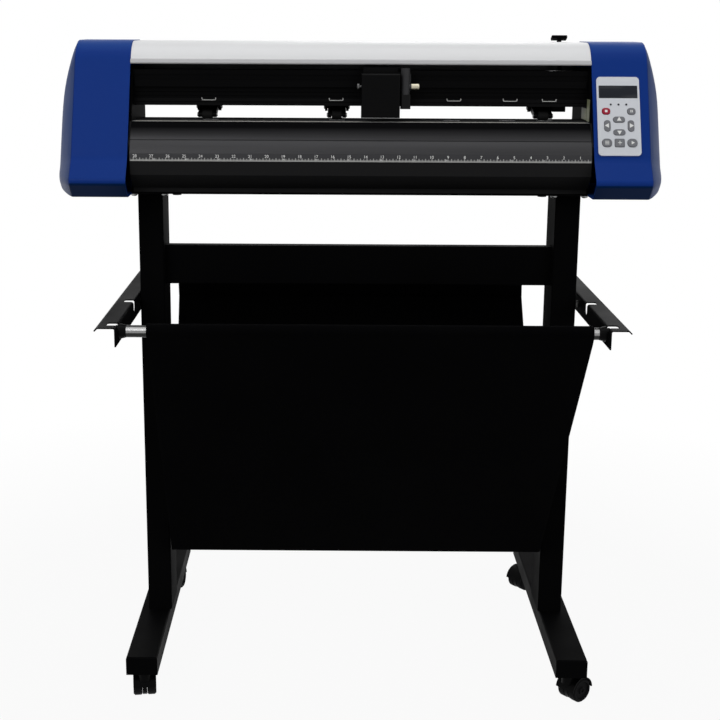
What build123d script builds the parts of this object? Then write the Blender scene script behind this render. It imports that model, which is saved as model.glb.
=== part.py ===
from build123d import *
from math import atan2, cos, degrees, hypot, radians, sin
import os

# Roll-fed vinyl cutter on a wheeled stand. Millimetres.
# +Z up, front towards -Y, origin on the floor under the middle of the whole machine.

# ---- driving sizes: stand ----
wheel_dia = 40.0
wheel_width = 14.5
wheel_gap = 8.0            # room for the caster's middle web between its two wheels
caster_height = 55.0       # floor to underside of foot
caster_trail = 16.0
stem_dia = 10.0
foot_width = 50.0
foot_height = 30.0
foot_front = -234.0
foot_length = 536.0
foot_inset = 12.5          # outer face of the uprights in to the middle of a foot
stem_inset = 30.0         # foot end to the caster stem
sheet = 2.0                # folded steel wall of feet, arms, panel and pan
upright_width = 40.0
upright_depth = 85.0
upright_length = 718.0
upright_front = -44.0
upright_inset = 0.3        # end of the bed in to the outer face of an upright
tube_wall = 1.5
mount_plate = 3.0
mount_plate_width = 63.0
mount_plate_length = 112.0
bolt_dia = 6.0
panel_height = 64.0
panel_depth = 20.0
panel_drop = 90.0          # machine underside to top of cross panel
arm_web = 28.0
arm_flange = 33.0
arm_lip = 5.0
arm_front = -302.0
arm_length = 502.0
arm_drop = 169.0           # machine underside to top of arm
slot_width = 20.0
slot_reach = 24.5          # how far the slots run out along the flange
slot_floor = 19.0          # top of arm down to the bottom of a slot
slot_end_step = 27.0       # arm end to the middle of an end slot
slot_pitch = 176.0         # front slot to the second slot
rod_dia = 18.0
rod_wall = 1.2

# ---- driving sizes: fabric ----
fabric = 2.4
sleeve_gap = 0.35
fold_y = -57.0
fold_radius = 9.0
fold_z = 199.0
# outer face of an upright in to the edges of the cloth
front_left_inset, front_right_inset = 37.5, 13.5
fold_inset = 44.5
rear_left_inset, rear_right_inset = 44.5, 58.5

# ---- driving sizes: machine ----
bed_length = 711.6         # between the inner faces of the side plates
side_plate = 3.0
cover_gap = 0.4
body_height = 236.0
platen_rise = 114.0
pan_height = 25.0
platen_front = -84.0
platen_depth = 92.0
platen_wall = 3.0
beam_gap = 23.0            # throat between platen and beam
beam_height = 55.0
beam_depth = 36.0
beam_front = -54.0
beam_wall = 3.0
rail_height = 10.0
rail_depth = 6.0
rail_rise = 34.0
cover_wall = 2.5
cover_width = 87.0
cap_bulge = 28.3
lip_rise = 87.0            # platen to the lower lip of the top cover
swell_out, swell_fall = 22.0, 27.5       # platen's front edge to the foot of the upper swell
ruler_out, ruler_fall = 34.0, 56.0       # platen's front edge to the ruler
ruler_lean = 2.5
ruler_height = 12.0
bend_out, bend_rise = 35.0, 35.0         # platen's front and the underside to the apron's bend
cap_round = 12.0                         # corners of the caps grow rounder towards their points
inlet_in, inlet_rise = 42.8, 46.0        # edge and underside of the cover to the mains inlet
table_foot_inset = 65.8

# ---- driving sizes: feeding and cutting ----
drum_dia = 20.0
drum_width = 25.0
drum_proud = 0.5
shaft_dia = 12.0
shaft_y = -36.0
# right end of the bed in to the middle of each drum and pinch roller
drum_insets = (592.8, 392.3, 209.8, 121.8, 62.8)
pinch_insets = (597.8, 392.3, 65.8)
pinch_wheel_dia = 14.0
pinch_wheel_width = 16.0
pinch_reach = 40.0
pinch_axle = 4.0
bracket_width = 38.0
cheek = 4.0
lift_y = 24.0
lift_rise = 32.0
cam_dia = 10.0
cam_throw = 5.0
lever_inset = 30.3         # right end of the bed in to the lever
lever_reach = 104.3
grip_size = (25.0, 14.0, 5.5)
carriage_x = 31.0
carriage_width = 60.0
carriage_front = -88.0
carriage_drop = 6.5        # underside of carriage cover above the platen
tool_bore = 11.5
sleeve_dia = 14.0
tool_out = 8.4             # right side of the carriage to the tool
tool_y = -74.0
knob_dia = 9.5
knob_length = 12.5
pulley_dia = 20.0
pulley_out = 26.2          # end of the bed out to a belt pulley
belt_width = 8.0
belt_wall = 1.6
belt_y = -34.0
motor_size = 42.0
motor_length = 38.0
motor_shaft = 5.0

# ---- driving sizes: control panel ----
panel_width = 66.0
panel_length = 128.0
panel_thick = 2.5
key_travel = 1.0
key_proud = key_travel + 0.4
key_gap = 0.4

# ---- clearances ----
run_gap = 0.05             # radial running fit of pins and shafts
slide_gap = 0.3            # between sliding or turning faces
seat_gap = 0.3             # between a curved piece and its seat

# ---- places worked out from the sizes ----
foot_top = caster_height + foot_height
upright_top = foot_top + upright_length
base_z = upright_top + mount_plate
half_bed = bed_length / 2
upright_outer = half_bed - upright_inset
foot_centre = upright_outer - foot_inset
upright_x = upright_outer - upright_width / 2
upright_inner = upright_outer - upright_width
upright_y = upright_front + upright_depth / 2
arm_top = base_z - arm_drop
front_slot = arm_front + slot_end_step
rear_slot = arm_front + arm_length - slot_end_step
middle_slot = front_slot + slot_pitch
rod_z = arm_top - slot_floor + rod_dia / 2 + seat_gap
platen_z = base_z + platen_rise
body_top = base_z + body_height
cover_x = half_bed + side_plate + cover_gap
beam_z = platen_z + beam_gap
beam_top = beam_z + beam_height
beam_rear = beam_front + beam_depth
lip_z = platen_z + lip_rise
shaft_z = platen_z + drum_proud - drum_dia / 2
pinch_z = platen_z + drum_proud + seat_gap + pinch_wheel_dia / 2
pivot_y = shaft_y + pinch_reach
pivot_z = platen_z + 18.0
lift_z = platen_z + lift_rise
belt_z = beam_top + 8.0
ruler_z = platen_z - ruler_fall
front_left, front_right = front_left_inset - upright_outer, upright_outer - front_right_inset
fold_half = upright_outer - fold_inset
rear_left, rear_right = rear_left_inset - upright_outer, upright_outer - rear_right_inset
drum_places = [half_bed - inset for inset in drum_insets]
pinch_places = [half_bed - inset for inset in pinch_insets]
lever_x = half_bed - lever_inset
tool_x = carriage_x + carriage_width / 2 + tool_out
pulley_span = half_bed + pulley_out

os.makedirs("parts", exist_ok=True)


def finish(piece, name, second=None):
    whole = piece.part
    if second is not None:
        whole = Compound(children=[Compound(piece.part.wrapped), Compound(second.wrapped)])
    whole.label = name
    export_step(whole, f"parts/{name}.step")


# ================= stand =================

def foot(side):
    rear = foot_front + foot_length
    with BuildPart() as channel:
        with BuildSketch(Plane.XZ.offset(-rear)):
            with Locations((side * foot_centre, caster_height + foot_height / 2)):
                Rectangle(foot_width, foot_height)
        extrude(amount=foot_length)
        top_edges = channel.edges().group_by(Axis.Z)[-1]
        fillet(top_edges, 3)
        offset(amount=-sheet, openings=channel.faces().sort_by(Axis.Z)[0])
        # tubes that take the caster stems, welded under the top
        for y in (foot_front + stem_inset, rear - stem_inset):
            with BuildSketch(Plane.XY.offset(caster_height)):
                with Locations((side * foot_centre, y)):
                    Circle(stem_dia / 2 + 4)
                    Circle(stem_dia / 2 + run_gap, mode=Mode.SUBTRACT)
            extrude(amount=foot_height - sheet)
            with BuildSketch(Plane.XY.offset(caster_height)):
                with Locations((side * foot_centre, y)):
                    Rectangle(foot_width - sheet, sheet * 1.5)
                    Circle(stem_dia / 2 + 3, mode=Mode.SUBTRACT)
            extrude(amount=foot_height - sheet)
    return channel


foot_left = foot(-1)
finish(foot_left, "foot_left")
foot_right = foot(1)
finish(foot_right, "foot_right")


def upright(side):
    with BuildPart() as post:
        with BuildSketch(Plane.XY.offset(foot_top)):
            with Locations((side * upright_x, upright_y)):
                RectangleRounded(upright_width, upright_depth, 4)
                RectangleRounded(upright_width - 2 * tube_wall, upright_depth - 2 * tube_wall, 2.5,
                                 mode=Mode.SUBTRACT)
        extrude(amount=upright_length)
        with BuildSketch(Plane.XY.offset(upright_top)):
            with Locations((side * upright_x, upright_y)):
                RectangleRounded(mount_plate_width, mount_plate_length, 5)
                with GridLocations(mount_plate_width - 14, mount_plate_length - 14, 2, 2):
                    Circle(bolt_dia / 2, mode=Mode.SUBTRACT)
        extrude(amount=mount_plate)
        # holes for the arm bolts
        with BuildSketch(Plane.YZ.offset(side * upright_outer)):
            with Locations((upright_y, arm_top - arm_web / 2)):
                with GridLocations(upright_depth - 30, 1, 2, 1):
                    Circle(bolt_dia / 2)
        extrude(amount=tube_wall * 2, both=True, mode=Mode.SUBTRACT)
    return post


upright_left = upright(-1)
finish(upright_left, "upright_left")
upright_right = upright(1)
finish(upright_right, "upright_right")

# folded pan that ties the uprights together
with BuildPart() as cross_panel:
    with BuildSketch(Plane.XZ.offset(-(upright_front + 20))):
        with Locations((0, base_z - panel_drop - panel_height / 2)):
            Rectangle(2 * upright_inner, panel_height)
    extrude(amount=-panel_depth)
    fillet(cross_panel.edges().filter_by(Axis.X).group_by(Axis.Y)[0], 2.5)
    offset(amount=-sheet, openings=cross_panel.faces().sort_by(Axis.Y)[-1])
finish(cross_panel, "cross_panel")


def media_arm(side):
    a = upright_outer      # the web's outer face
    with BuildPart() as arm:
        with BuildSketch(Plane.XZ.offset(-(arm_front + arm_length))):
            with BuildLine():
                Polyline((a, arm_top - arm_web), (a, arm_top), (a + arm_flange, arm_top),
                         (a + arm_flange + arm_lip, arm_top - arm_lip),
                         (a + arm_flange + arm_lip - sheet * 0.707, arm_top - arm_lip - sheet * 0.707),
                         (a + arm_flange - sheet * 0.414, arm_top - sheet), (a + sheet, arm_top - sheet),
                         (a + sheet, arm_top - arm_web), close=True)
            make_face()
        extrude(amount=arm_length)
        bend = arm.edges().filter_by(Axis.Y).group_by(Axis.X)[0].sort_by(Axis.Z)[-1]
        fillet(bend, 1.8)
        # L-shaped slots open along the flange and down the web
        floor = arm_top - slot_floor
        for y in (front_slot, middle_slot, rear_slot):
            with BuildSketch(Plane.XY.offset(floor + slot_width / 2)):
                with Locations((a - 1, y)):
                    Rectangle(slot_reach + 1, slot_width, align=(Align.MIN, Align.CENTER))
            extrude(amount=arm_web, mode=Mode.SUBTRACT)
            with BuildSketch(Plane.YZ.offset(a)):
                with Locations((y, floor + slot_width / 2)):
                    Circle(slot_width / 2)
            extrude(amount=sheet, mode=Mode.SUBTRACT)
        with BuildSketch(Plane.YZ.offset(a)):
            with Locations((upright_y, arm_top - arm_web / 2)):
                with GridLocations(upright_depth - 30, 1, 2, 1):
                    Circle(bolt_dia / 2)
        extrude(amount=sheet, mode=Mode.SUBTRACT)
        if side < 0:
            mirror(about=Plane.YZ, mode=Mode.REPLACE)
    return arm


media_arm_left = media_arm(-1)
finish(media_arm_left, "media_arm_left")
media_arm_right = media_arm(1)
finish(media_arm_right, "media_arm_right")

plug_x = upright_outer - 10.5      # inner end of a rod's end plug
with BuildPart() as basket_rods:
    for y in (front_slot, rear_slot):
        with BuildSketch(Plane.YZ.offset(-plug_x)):
            with Locations((y, rod_z)):
                Circle(rod_dia / 2)
                Circle(rod_dia / 2 - rod_wall, mode=Mode.SUBTRACT)
        extrude(amount=2 * plug_x)
finish(basket_rods, "basket_rods")

with BuildPart() as rod_end_plugs:
    for y in (front_slot, rear_slot):
        for side in (-1, 1):
            with BuildSketch(Plane(origin=(0, y, rod_z), x_dir=(1, 0, 0), z_dir=(0, -1, 0))):
                with BuildLine():
                    spigot = rod_dia / 2 - rod_wall - 0.1
                    Polyline((side * (plug_x - 20), 0), (side * (plug_x - 20), spigot),
                             (side * plug_x, spigot), (side * plug_x, rod_dia / 2),
                             (side * (upright_outer - slide_gap), rod_dia / 2 + 2),
                             (side * (upright_outer - slide_gap), rod_dia / 2),
                             (side * (upright_outer + sheet + 5), rod_dia / 2),
                             (side * (upright_outer + sheet + 5), 0), close=True)
                make_face()
            revolve(axis=Axis((0, y, rod_z), (1, 0, 0)))
finish(rod_end_plugs, "rod_end_plugs")

# ================= catch basket =================
bottom_z = fold_z + fold_radius


def cloth_outline(left, right):
    # seen from the front: full width at the rod, tapering down to the fold
    with BuildLine() as outline:
        Polyline((left, rod_z + 20), (right, rod_z + 20), (right, rod_z - 12),
                 (fold_half, fold_z - 5), (-fold_half, fold_z - 5), (left, rod_z - 12), close=True)
    return outline.line


with BuildPart() as cloth_trim:
    with BuildSketch(Plane.XZ.offset(-fold_y)):
        add(cloth_outline(front_left, front_right))
        make_face()
    extrude(amount=fold_y - arm_front + 20)
    with BuildSketch(Plane.XZ.offset(-fold_y)):
        add(cloth_outline(rear_left, rear_right))
        make_face()
    extrude(amount=-(arm_front + arm_length - fold_y))

with BuildPart() as catch_basket:
    with BuildSketch(Plane.YZ.offset(front_left)):
        with BuildLine():
            run = Line((front_slot - rod_dia / 2 - sleeve_gap - fabric / 2, rod_z),
                       (fold_y - fold_radius, bottom_z))
            turn = ThreePointArc(run @ 1, (fold_y, fold_z + fabric / 2), (fold_y + fold_radius, bottom_z))
            Line(turn @ 1, (rear_slot + rod_dia / 2 + sleeve_gap + fabric / 2, rod_z))
            offset(amount=fabric / 2)
        make_face()
    extrude(amount=front_right - front_left)
    add(cloth_trim.part, mode=Mode.INTERSECT)
    # sleeves around the rods
    for y, left, right in ((front_slot, front_left, front_right), (rear_slot, rear_left, rear_right)):
        with BuildSketch(Plane.YZ.offset(left)):
            with Locations((y, rod_z)):
                Circle(rod_dia / 2 + sleeve_gap + fabric)
        extrude(amount=right - left)
    for y in (front_slot, rear_slot):
        with BuildSketch(Plane.YZ.offset(front_left - 1)):
            with Locations((y, rod_z)):
                Circle(rod_dia / 2 + sleeve_gap)
        extrude(amount=front_right - front_left + 2, mode=Mode.SUBTRACT)
finish(catch_basket, "catch_basket")

# ================= casters =================
rear_stem = foot_front + foot_length - stem_inset
front_stem = foot_front + stem_inset
# name, side, stem Y, how far the caster has swivelled from trailing towards the back
casters = (("front_left", -1, front_stem, 8.0), ("front_right", 1, front_stem, -52.0),
           ("rear_left", -1, rear_stem, 170.0), ("rear_right", 1, rear_stem, 128.0))


def caster_plane(side, stem_y, turn):
    # local x along the axle, local y from the stem towards the wheels, local z up
    a = radians(turn)
    return Plane(origin=(side * foot_centre, stem_y, 0), x_dir=(cos(a), sin(a), 0), z_dir=(0, 0, 1))


def across(base, x):
    # plane square to the axle, x millimetres along it; local coordinates are (y, z) of the caster
    return Plane(origin=base.from_local_coords((x, 0, 0)), x_dir=base.y_dir, z_dir=base.x_dir)


def caster_hood(base):
    r = wheel_dia / 2
    web = wheel_gap - 2 * 0.5
    half = wheel_gap / 2 + wheel_width
    with BuildPart() as hood:
        with BuildSketch(across(base, -web / 2)):
            with Locations((caster_trail, r)):
                Circle(r - 4)
            with BuildLine():
                Polyline((-9, caster_height - 1), (9, caster_height - 1), (caster_trail + r - 5, r + 4),
                         (caster_trail, 6), (-4, r + 8), close=True)
            make_face()
        extrude(amount=web)
        # shell over the tops of both wheels
        with BuildSketch(across(base, -half)):
            with Locations((caster_trail, r)):
                Circle(r + 3)
                Circle(r + 0.8, mode=Mode.SUBTRACT)
            with Locations((caster_trail, r + 2)):
                Rectangle(3 * r, 3 * r, align=(Align.CENTER, Align.MAX), mode=Mode.SUBTRACT)
        extrude(amount=2 * half)
        with BuildSketch(base.offset(r + 13)):
            Circle(10)
        extrude(amount=caster_height - seat_gap - r - 13)
        # keep the swivel boss out of the wheels' room
        for x in (wheel_gap / 2 - 0.5, -half - 0.5):
            with BuildSketch(across(base, x)):
                with Locations((caster_trail, r)):
                    Circle(r + 0.8)
            extrude(amount=wheel_width + 1, mode=Mode.SUBTRACT)
        with BuildSketch(base.offset(caster_height - seat_gap - 2)):
            Circle(stem_dia / 2)
        extrude(amount=foot_height - sheet - 1 + seat_gap)
        with BuildSketch(across(base, -half + 1.5)):
            with Locations((caster_trail, r)):
                Circle(3)
        extrude(amount=2 * half - 3)
    return hood


def caster_wheels(base):
    r = wheel_dia / 2
    with BuildPart() as wheels:
        for side in (-1, 1):
            inner = wheel_gap / 2
            with BuildSketch(Plane(origin=base.from_local_coords((0, caster_trail, r)),
                                   x_dir=base.x_dir, z_dir=-base.y_dir)):
                with BuildLine():
                    outer = inner + wheel_width
                    Polyline((side * inner, 3 + run_gap), (side * inner, r - 2), (side * (inner + 2), r),
                             (side * (outer - 2.5), r), (side * outer, r - 2.5),
                             (side * outer, r - 5), (side * (outer - 2.5), r - 6),
                             (side * (outer - 2.5), 6), (side * outer, 5),
                             (side * outer, 3 + run_gap), close=True)
                make_face()
            revolve(axis=Axis(base.from_local_coords((0, caster_trail, r)), base.x_dir))
    return wheels


for place, side, stem_y, turn in casters:
    base = caster_plane(side, stem_y, turn)
    hood = caster_hood(base)
    finish(hood, f"caster_hood_{place}")
    wheels = caster_wheels(base)
    finish(wheels, f"caster_wheels_{place}")

# ================= machine frame =================
pan_floor = base_z + sheet
pan_front = platen_front + 2.0
pan_rear = 80.0

with BuildPart() as base_pan:
    with BuildSketch(Plane.XY.offset(base_z)):
        with Locations((0, (pan_front + pan_rear) / 2)):
            Rectangle(bed_length + 2 * side_plate, pan_rear - pan_front)
    extrude(amount=pan_height)
    fillet(base_pan.edges().filter_by(Axis.X).group_by(Axis.Z)[0], 3)
    with BuildSketch(Plane.XY.offset(pan_floor)):
        with Locations((0, (pan_front + pan_rear) / 2)):
            Rectangle(bed_length + 2 * side_plate, pan_rear - pan_front - 2 * sheet)
    extrude(amount=pan_height, mode=Mode.SUBTRACT)
    # table feet, which hang free while the machine is on its stand
    with BuildSketch(Plane.XY.offset(base_z - 3)):
        with Locations((0, (pan_front + pan_rear) / 2)):
            with GridLocations(bed_length - 2 * table_foot_inset, pan_rear - pan_front - 40, 2, 2):
                Circle(7)
    extrude(amount=3)
finish(base_pan, "base_pan")

tab_z = beam_top - 4.0
plate_front = platen_front - 28
apron_bend = (platen_front - bend_out, base_z + bend_rise)
motor_x = half_bed + side_plate
with BuildPart() as side_plates:
    for side in (-1, 1):
        with BuildSketch(Plane.YZ.offset(side * half_bed)):
            with BuildLine():
                Polyline((pan_front + sheet, pan_floor), (pan_rear - sheet, pan_floor),
                         (pan_rear - sheet, beam_top + 3), (beam_front, beam_top + 3),
                         (platen_front + 6, platen_z + 30), (platen_front - 6, platen_z - 3),
                         (plate_front, platen_z - 34), (plate_front, apron_bend[1]),
                         (pan_front + sheet, base_z + pan_height), close=True)
            make_face()
            # shaft bearing at one end, motor register at the other
            with Locations((shaft_y, shaft_z)):
                Circle(11 if side < 0 else shaft_dia / 2 + run_gap, mode=Mode.SUBTRACT)
            with Locations((lift_y, lift_z)):
                Circle(4 + run_gap, mode=Mode.SUBTRACT)
        extrude(amount=side * side_plate)
        # folded shelf that carries the belt pulley
        with BuildSketch(Plane.XY.offset(tab_z)):
            with Locations((side * motor_x, belt_y)):
                Rectangle(motor_size + 10, motor_size + 6,
                          align=(Align.MIN if side > 0 else Align.MAX, Align.CENTER))
            if side > 0:
                with Locations((side * pulley_span, belt_y)):
                    Circle(11, mode=Mode.SUBTRACT)
        extrude(amount=sheet)
    # post for the idler pulley
    with BuildSketch(Plane.XY.offset(tab_z)):
        with Locations((-pulley_span, belt_y)):
            Circle(motor_shaft / 2)
    extrude(amount=belt_z + belt_width + 3 - tab_z)
finish(side_plates, "side_plates")

with BuildPart() as platen:
    with BuildSketch(Plane.XY.offset(platen_z - platen_wall)):
        with Locations((0, platen_front)):
            Rectangle(bed_length, platen_depth, align=(Align.CENTER, Align.MIN))
        # windows where the grit drums come through
        for x in drum_places:
            with Locations((x, shaft_y)):
                Rectangle(drum_width + 2, drum_dia * 0.8, mode=Mode.SUBTRACT)
    extrude(amount=platen_wall)
    # groove that holds the cutting strip
    with BuildSketch(Plane.XY.offset(platen_z)):
        with Locations((0, tool_y)):
            Rectangle(bed_length - 8, 8)
    extrude(amount=-1, mode=Mode.SUBTRACT)
    # stiffening ribs underneath
    with BuildSketch(Plane.XY.offset(platen_z - platen_wall)):
        for y in (platen_front + 20, platen_front + platen_depth - 14):
            with Locations((0, y)):
                Rectangle(bed_length, 3)
    extrude(amount=-9)
finish(platen, "platen")

# curved front: two shallow swells, the ruler seat, then the tuck under to the pan
swell_foot = (platen_front - swell_out, platen_z - swell_fall)
ruler_top = (platen_front - ruler_out, ruler_z + ruler_height * 0.75)
ruler_foot = (platen_front - ruler_out - ruler_lean, ruler_z - ruler_height * 0.25)
with BuildPart() as front_apron:
    with BuildSketch(Plane.YZ.offset(-half_bed)):
        with BuildLine():
            upper = SagittaArc((platen_front - 1.5, platen_z - 1.5), swell_foot, -3.5)
            middle = SagittaArc(upper @ 1, ruler_top, -1.4)
            seat = Line(middle @ 1, ruler_foot)
            drop = Line(seat @ 1, apron_bend)
            tuck = SagittaArc(drop @ 1, (pan_front - 1.7, base_z + 12), -3)
            Line(tuck @ 1, (pan_front - 1.7, base_z + 4))
        trace(line_width=3)
    extrude(amount=bed_length)
    # groove between the swells
    with BuildSketch(Plane.YZ.offset(-half_bed)):
        with Locations((swell_foot[0] - 1.6, swell_foot[1] + 0.4)):
            Circle(1.0)
    extrude(amount=bed_length, mode=Mode.SUBTRACT)
finish(front_apron, "front_apron")

seat_slope = Vector(0, ruler_foot[0] - ruler_top[0], ruler_foot[1] - ruler_top[1]).normalized()
seat_normal = Vector(0, seat_slope.Z, -seat_slope.Y)
seat_middle = Vector(0, (ruler_top[0] + ruler_foot[0]) / 2, (ruler_top[1] + ruler_foot[1]) / 2)
ruler_plane = Plane(origin=seat_middle + seat_normal * 1.5, x_dir=(1, 0, 0), z_dir=seat_normal)
with BuildPart() as ruler_strip:
    with BuildSketch(ruler_plane):
        Rectangle(bed_length - 2, hypot(ruler_top[0] - ruler_foot[0], ruler_top[1] - ruler_foot[1]) - 1)
    extrude(amount=0.8)
finish(ruler_strip, "ruler_strip")

with BuildPart() as rear_apron:
    with BuildSketch(Plane.YZ.offset(-half_bed)):
        with BuildLine():
            lead = Line((platen_front + platen_depth + 1.5, platen_z - 1.5), (24, platen_z - 2.5))
            bend = TangentArc(lead @ 1, (pan_rear + 1.5, platen_z - 62), tangent=lead % 1)
            Line(bend @ 1, (pan_rear + 1.5, base_z + 6))
        trace(line_width=3)
    extrude(amount=bed_length)
finish(rear_apron, "rear_apron")

# extruded crossbeam, hollow, with ribs along its front and a T-rail behind
rail_z = beam_z + rail_rise
tee_z = beam_z + 31.5
with BuildPart() as beam:
    with BuildSketch(Plane.YZ.offset(-half_bed)):
        with Locations((beam_front, beam_z)):
            Rectangle(beam_depth, beam_height, align=Align.MIN)
        for low, high in ((beam_wall, 22), (25, beam_height - beam_wall)):
            with Locations((beam_front + beam_wall + 1.5, beam_z + low)):
                Rectangle(beam_depth - 2 * beam_wall - 1.5, high - low, align=Align.MIN, mode=Mode.SUBTRACT)
        for rise, height in ((5, 2.0), (13, 5.0), (20.5, 2.0), (45, 5.0)):
            with Locations((beam_front, beam_z + rise)):
                Rectangle(1.6, height, align=(Align.MIN, Align.CENTER), mode=Mode.SUBTRACT)
        with Locations((beam_rear, tee_z)):
            Rectangle(4, 5, align=(Align.MIN, Align.CENTER))
        with Locations((beam_rear + 3, tee_z)):
            Rectangle(3, 11, align=(Align.MIN, Align.CENTER))
    extrude(amount=bed_length)

rail_front = beam_front - rail_depth
with BuildPart() as guide_rail:
    with BuildSketch(Plane.YZ.offset(-half_bed + 3)):
        with BuildLine():
            h = rail_height / 2
            Polyline((beam_front, rail_z - h), (beam_front, rail_z + h), (beam_front - 2, rail_z + h),
                     (beam_front - 3, rail_z + h - 1.5), (beam_front - 4, rail_z + h),
                     (rail_front, rail_z + h), (rail_front, rail_z - h), (beam_front - 4, rail_z - h),
                     (beam_front - 3, rail_z - h + 1.5), (beam_front - 2, rail_z - h), close=True)
        make_face()
    extrude(amount=bed_length - 6)
# the rail is a second solid, screwed to the beam
finish(beam, "beam", guide_rail.part)

# ================= covers =================
cover_back = 91.0
slope_run = 62.0           # how far the front slope leans over slope_fall of height
slope_fall = 136.0
slope_angle = atan2(slope_run, slope_fall)
crown_y = -44.4            # where the slope would meet the top
slope_foot_fall = 176.0    # top of the cover down to where the slope flares out
slope_foot_y = crown_y - slope_foot_fall * slope_run / slope_fall
nose_y, nose_z = -154.0, base_z + 26
tuck_y = -127.0
cover_floor = base_z + seat_gap
cover_radii = (38.0, 50.0, 30.0, 9.0, 6.0, 6.0)
cap_y, cap_z = -25.0, base_z + 29      # point of the cap that stands out furthest


def cover_outline(scale=1.0):
    points = ((cover_back, body_top), (crown_y, body_top), (slope_foot_y, body_top - slope_foot_fall),
              (nose_y, nose_z), (tuck_y, cover_floor), (cover_back, cover_floor))
    placed = [((y - cap_y) * scale + cap_y, (z - cap_z) * scale + cap_z) for y, z in points]
    with BuildLine() as outline:
        FilletPolyline(*placed, radius=[r * scale + cap_round * (1 - scale) for r in cover_radii],
                       close=True)
    return outline.line


cover_end = cover_x + cover_width
inlet_x, inlet_z = cover_x + inlet_in, base_z + inlet_rise
panel_x = cover_x + 6 + panel_width / 2
panel_drop_z = 111.0       # top of the cover down to the middle of the panel
panel_y = crown_y - panel_drop_z * slope_run / slope_fall
panel_plane = Plane(origin=(panel_x, panel_y, body_top - panel_drop_z), x_dir=(1, 0, 0),
                    z_dir=(0, -cos(slope_angle), sin(slope_angle)))


def end_cover(side):
    with BuildPart() as cover:
        with BuildSketch(Plane.YZ.offset(cover_x)):
            add(cover_outline())
            make_face()
            offset(amount=-cover_wall, mode=Mode.SUBTRACT)
        extrude(amount=cover_width)
        chamfer(cover.faces().sort_by(Axis.X)[-1].outer_wire().edges(), 1.2)
        if side > 0:
            # window behind the keys and the cut-out for the mains inlet
            with BuildSketch(panel_plane):
                with Locations((0, -18)):
                    Rectangle(panel_width - 8, 74)
            extrude(amount=-2 * cover_wall, mode=Mode.SUBTRACT)
            with BuildSketch(Plane.XZ.offset(-cover_back)):
                with Locations((inlet_x, inlet_z)):
                    Rectangle(24, 46)
            extrude(amount=2 * cover_wall, mode=Mode.SUBTRACT)
        else:
            mirror(about=Plane.YZ, mode=Mode.REPLACE)
    return cover


end_cover_left = end_cover(-1)
finish(end_cover_left, "end_cover_left")
end_cover_right = end_cover(1)
finish(end_cover_right, "end_cover_right")

# share of the bulge, size of the outline there
cap_steps = ((0.0, 0.992), (0.12, 0.96), (0.36, 0.87), (0.63, 0.74), (0.83, 0.59), (0.95, 0.45),
             (1.0, 0.36))
cap_hollow = ((0.0, 0.96), (0.34, 0.84), (0.8, 0.57), (1.0, 0.36))

with BuildPart() as side_caps:
    for steps, height, mode in ((cap_steps, cap_bulge, Mode.ADD),
                                (cap_hollow, cap_bulge - cover_wall, Mode.SUBTRACT)):
        for reach, scale in steps:
            with BuildSketch(Plane.YZ.offset(cover_end + reach * height)):
                add(cover_outline(scale))
                make_face()
        loft(mode=mode)
    mirror(about=Plane.YZ)
finish(side_caps, "side_caps")

# white painted top cover: rolled lip in front, open underneath, closed at the back
cover_inset = 1.0
lip_y = crown_y - (body_top - lip_z) * slope_run / slope_fall + 2.5
rear_throat = beam_z + 10
lever_slot = 16.0
slot_start = 25.0          # lever's pivot to the front end of its slot
slot_floor_z = lift_z + 56.5
top_sheet = 2.0
with BuildPart() as top_cover:
    with BuildSketch(Plane.YZ.offset(-cover_x + cover_gap / 2)):
        with BuildLine():
            edge = cover_inset + top_sheet / 2
            FilletPolyline((lip_y, lip_z), (crown_y + edge, body_top - edge),
                           (cover_back - edge, body_top - edge), (cover_back - edge, rear_throat),
                           radius=(48.0, 36.0))
        trace(line_width=top_sheet)
    extrude(amount=2 * cover_x - cover_gap)
    # rolled bead along the lower edge
    with BuildSketch(Plane.YZ.offset(-cover_x + cover_gap / 2)):
        with Locations(Location((lip_y - 0.4, lip_z + 3.5, 0), (0, 0, 90 - degrees(slope_angle)))):
            SlotOverall(8.0, 4.2)
    extrude(amount=2 * cover_x - cover_gap)
    # slot for the lever
    with BuildSketch(Plane.XY.offset(slot_floor_z)):
        with Locations((lever_x, lift_y + slot_start)):
            Rectangle(lever_slot, cover_back, align=(Align.CENTER, Align.MIN))
    extrude(amount=body_height, mode=Mode.SUBTRACT)
finish(top_cover, "top_cover")

# ================= media feed =================
with BuildPart() as grit_shaft:
    with BuildSketch(Plane.YZ.offset(-half_bed + 3)):
        with Locations((shaft_y, shaft_z)):
            Circle(shaft_dia / 2)
    extrude(amount=bed_length - 3 + side_plate + 2)
    # end bored for the motor's shaft
    with BuildSketch(Plane.YZ.offset(-half_bed + 3)):
        with Locations((shaft_y, shaft_z)):
            Circle(motor_shaft / 2 + run_gap)
    extrude(amount=22, mode=Mode.SUBTRACT)
    for x in drum_places:
        with BuildSketch(Plane.YZ.offset(x - drum_width / 2)):
            with Locations((shaft_y, shaft_z)):
                Circle(drum_dia / 2)
        extrude(amount=drum_width)
finish(grit_shaft, "grit_shaft")

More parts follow.
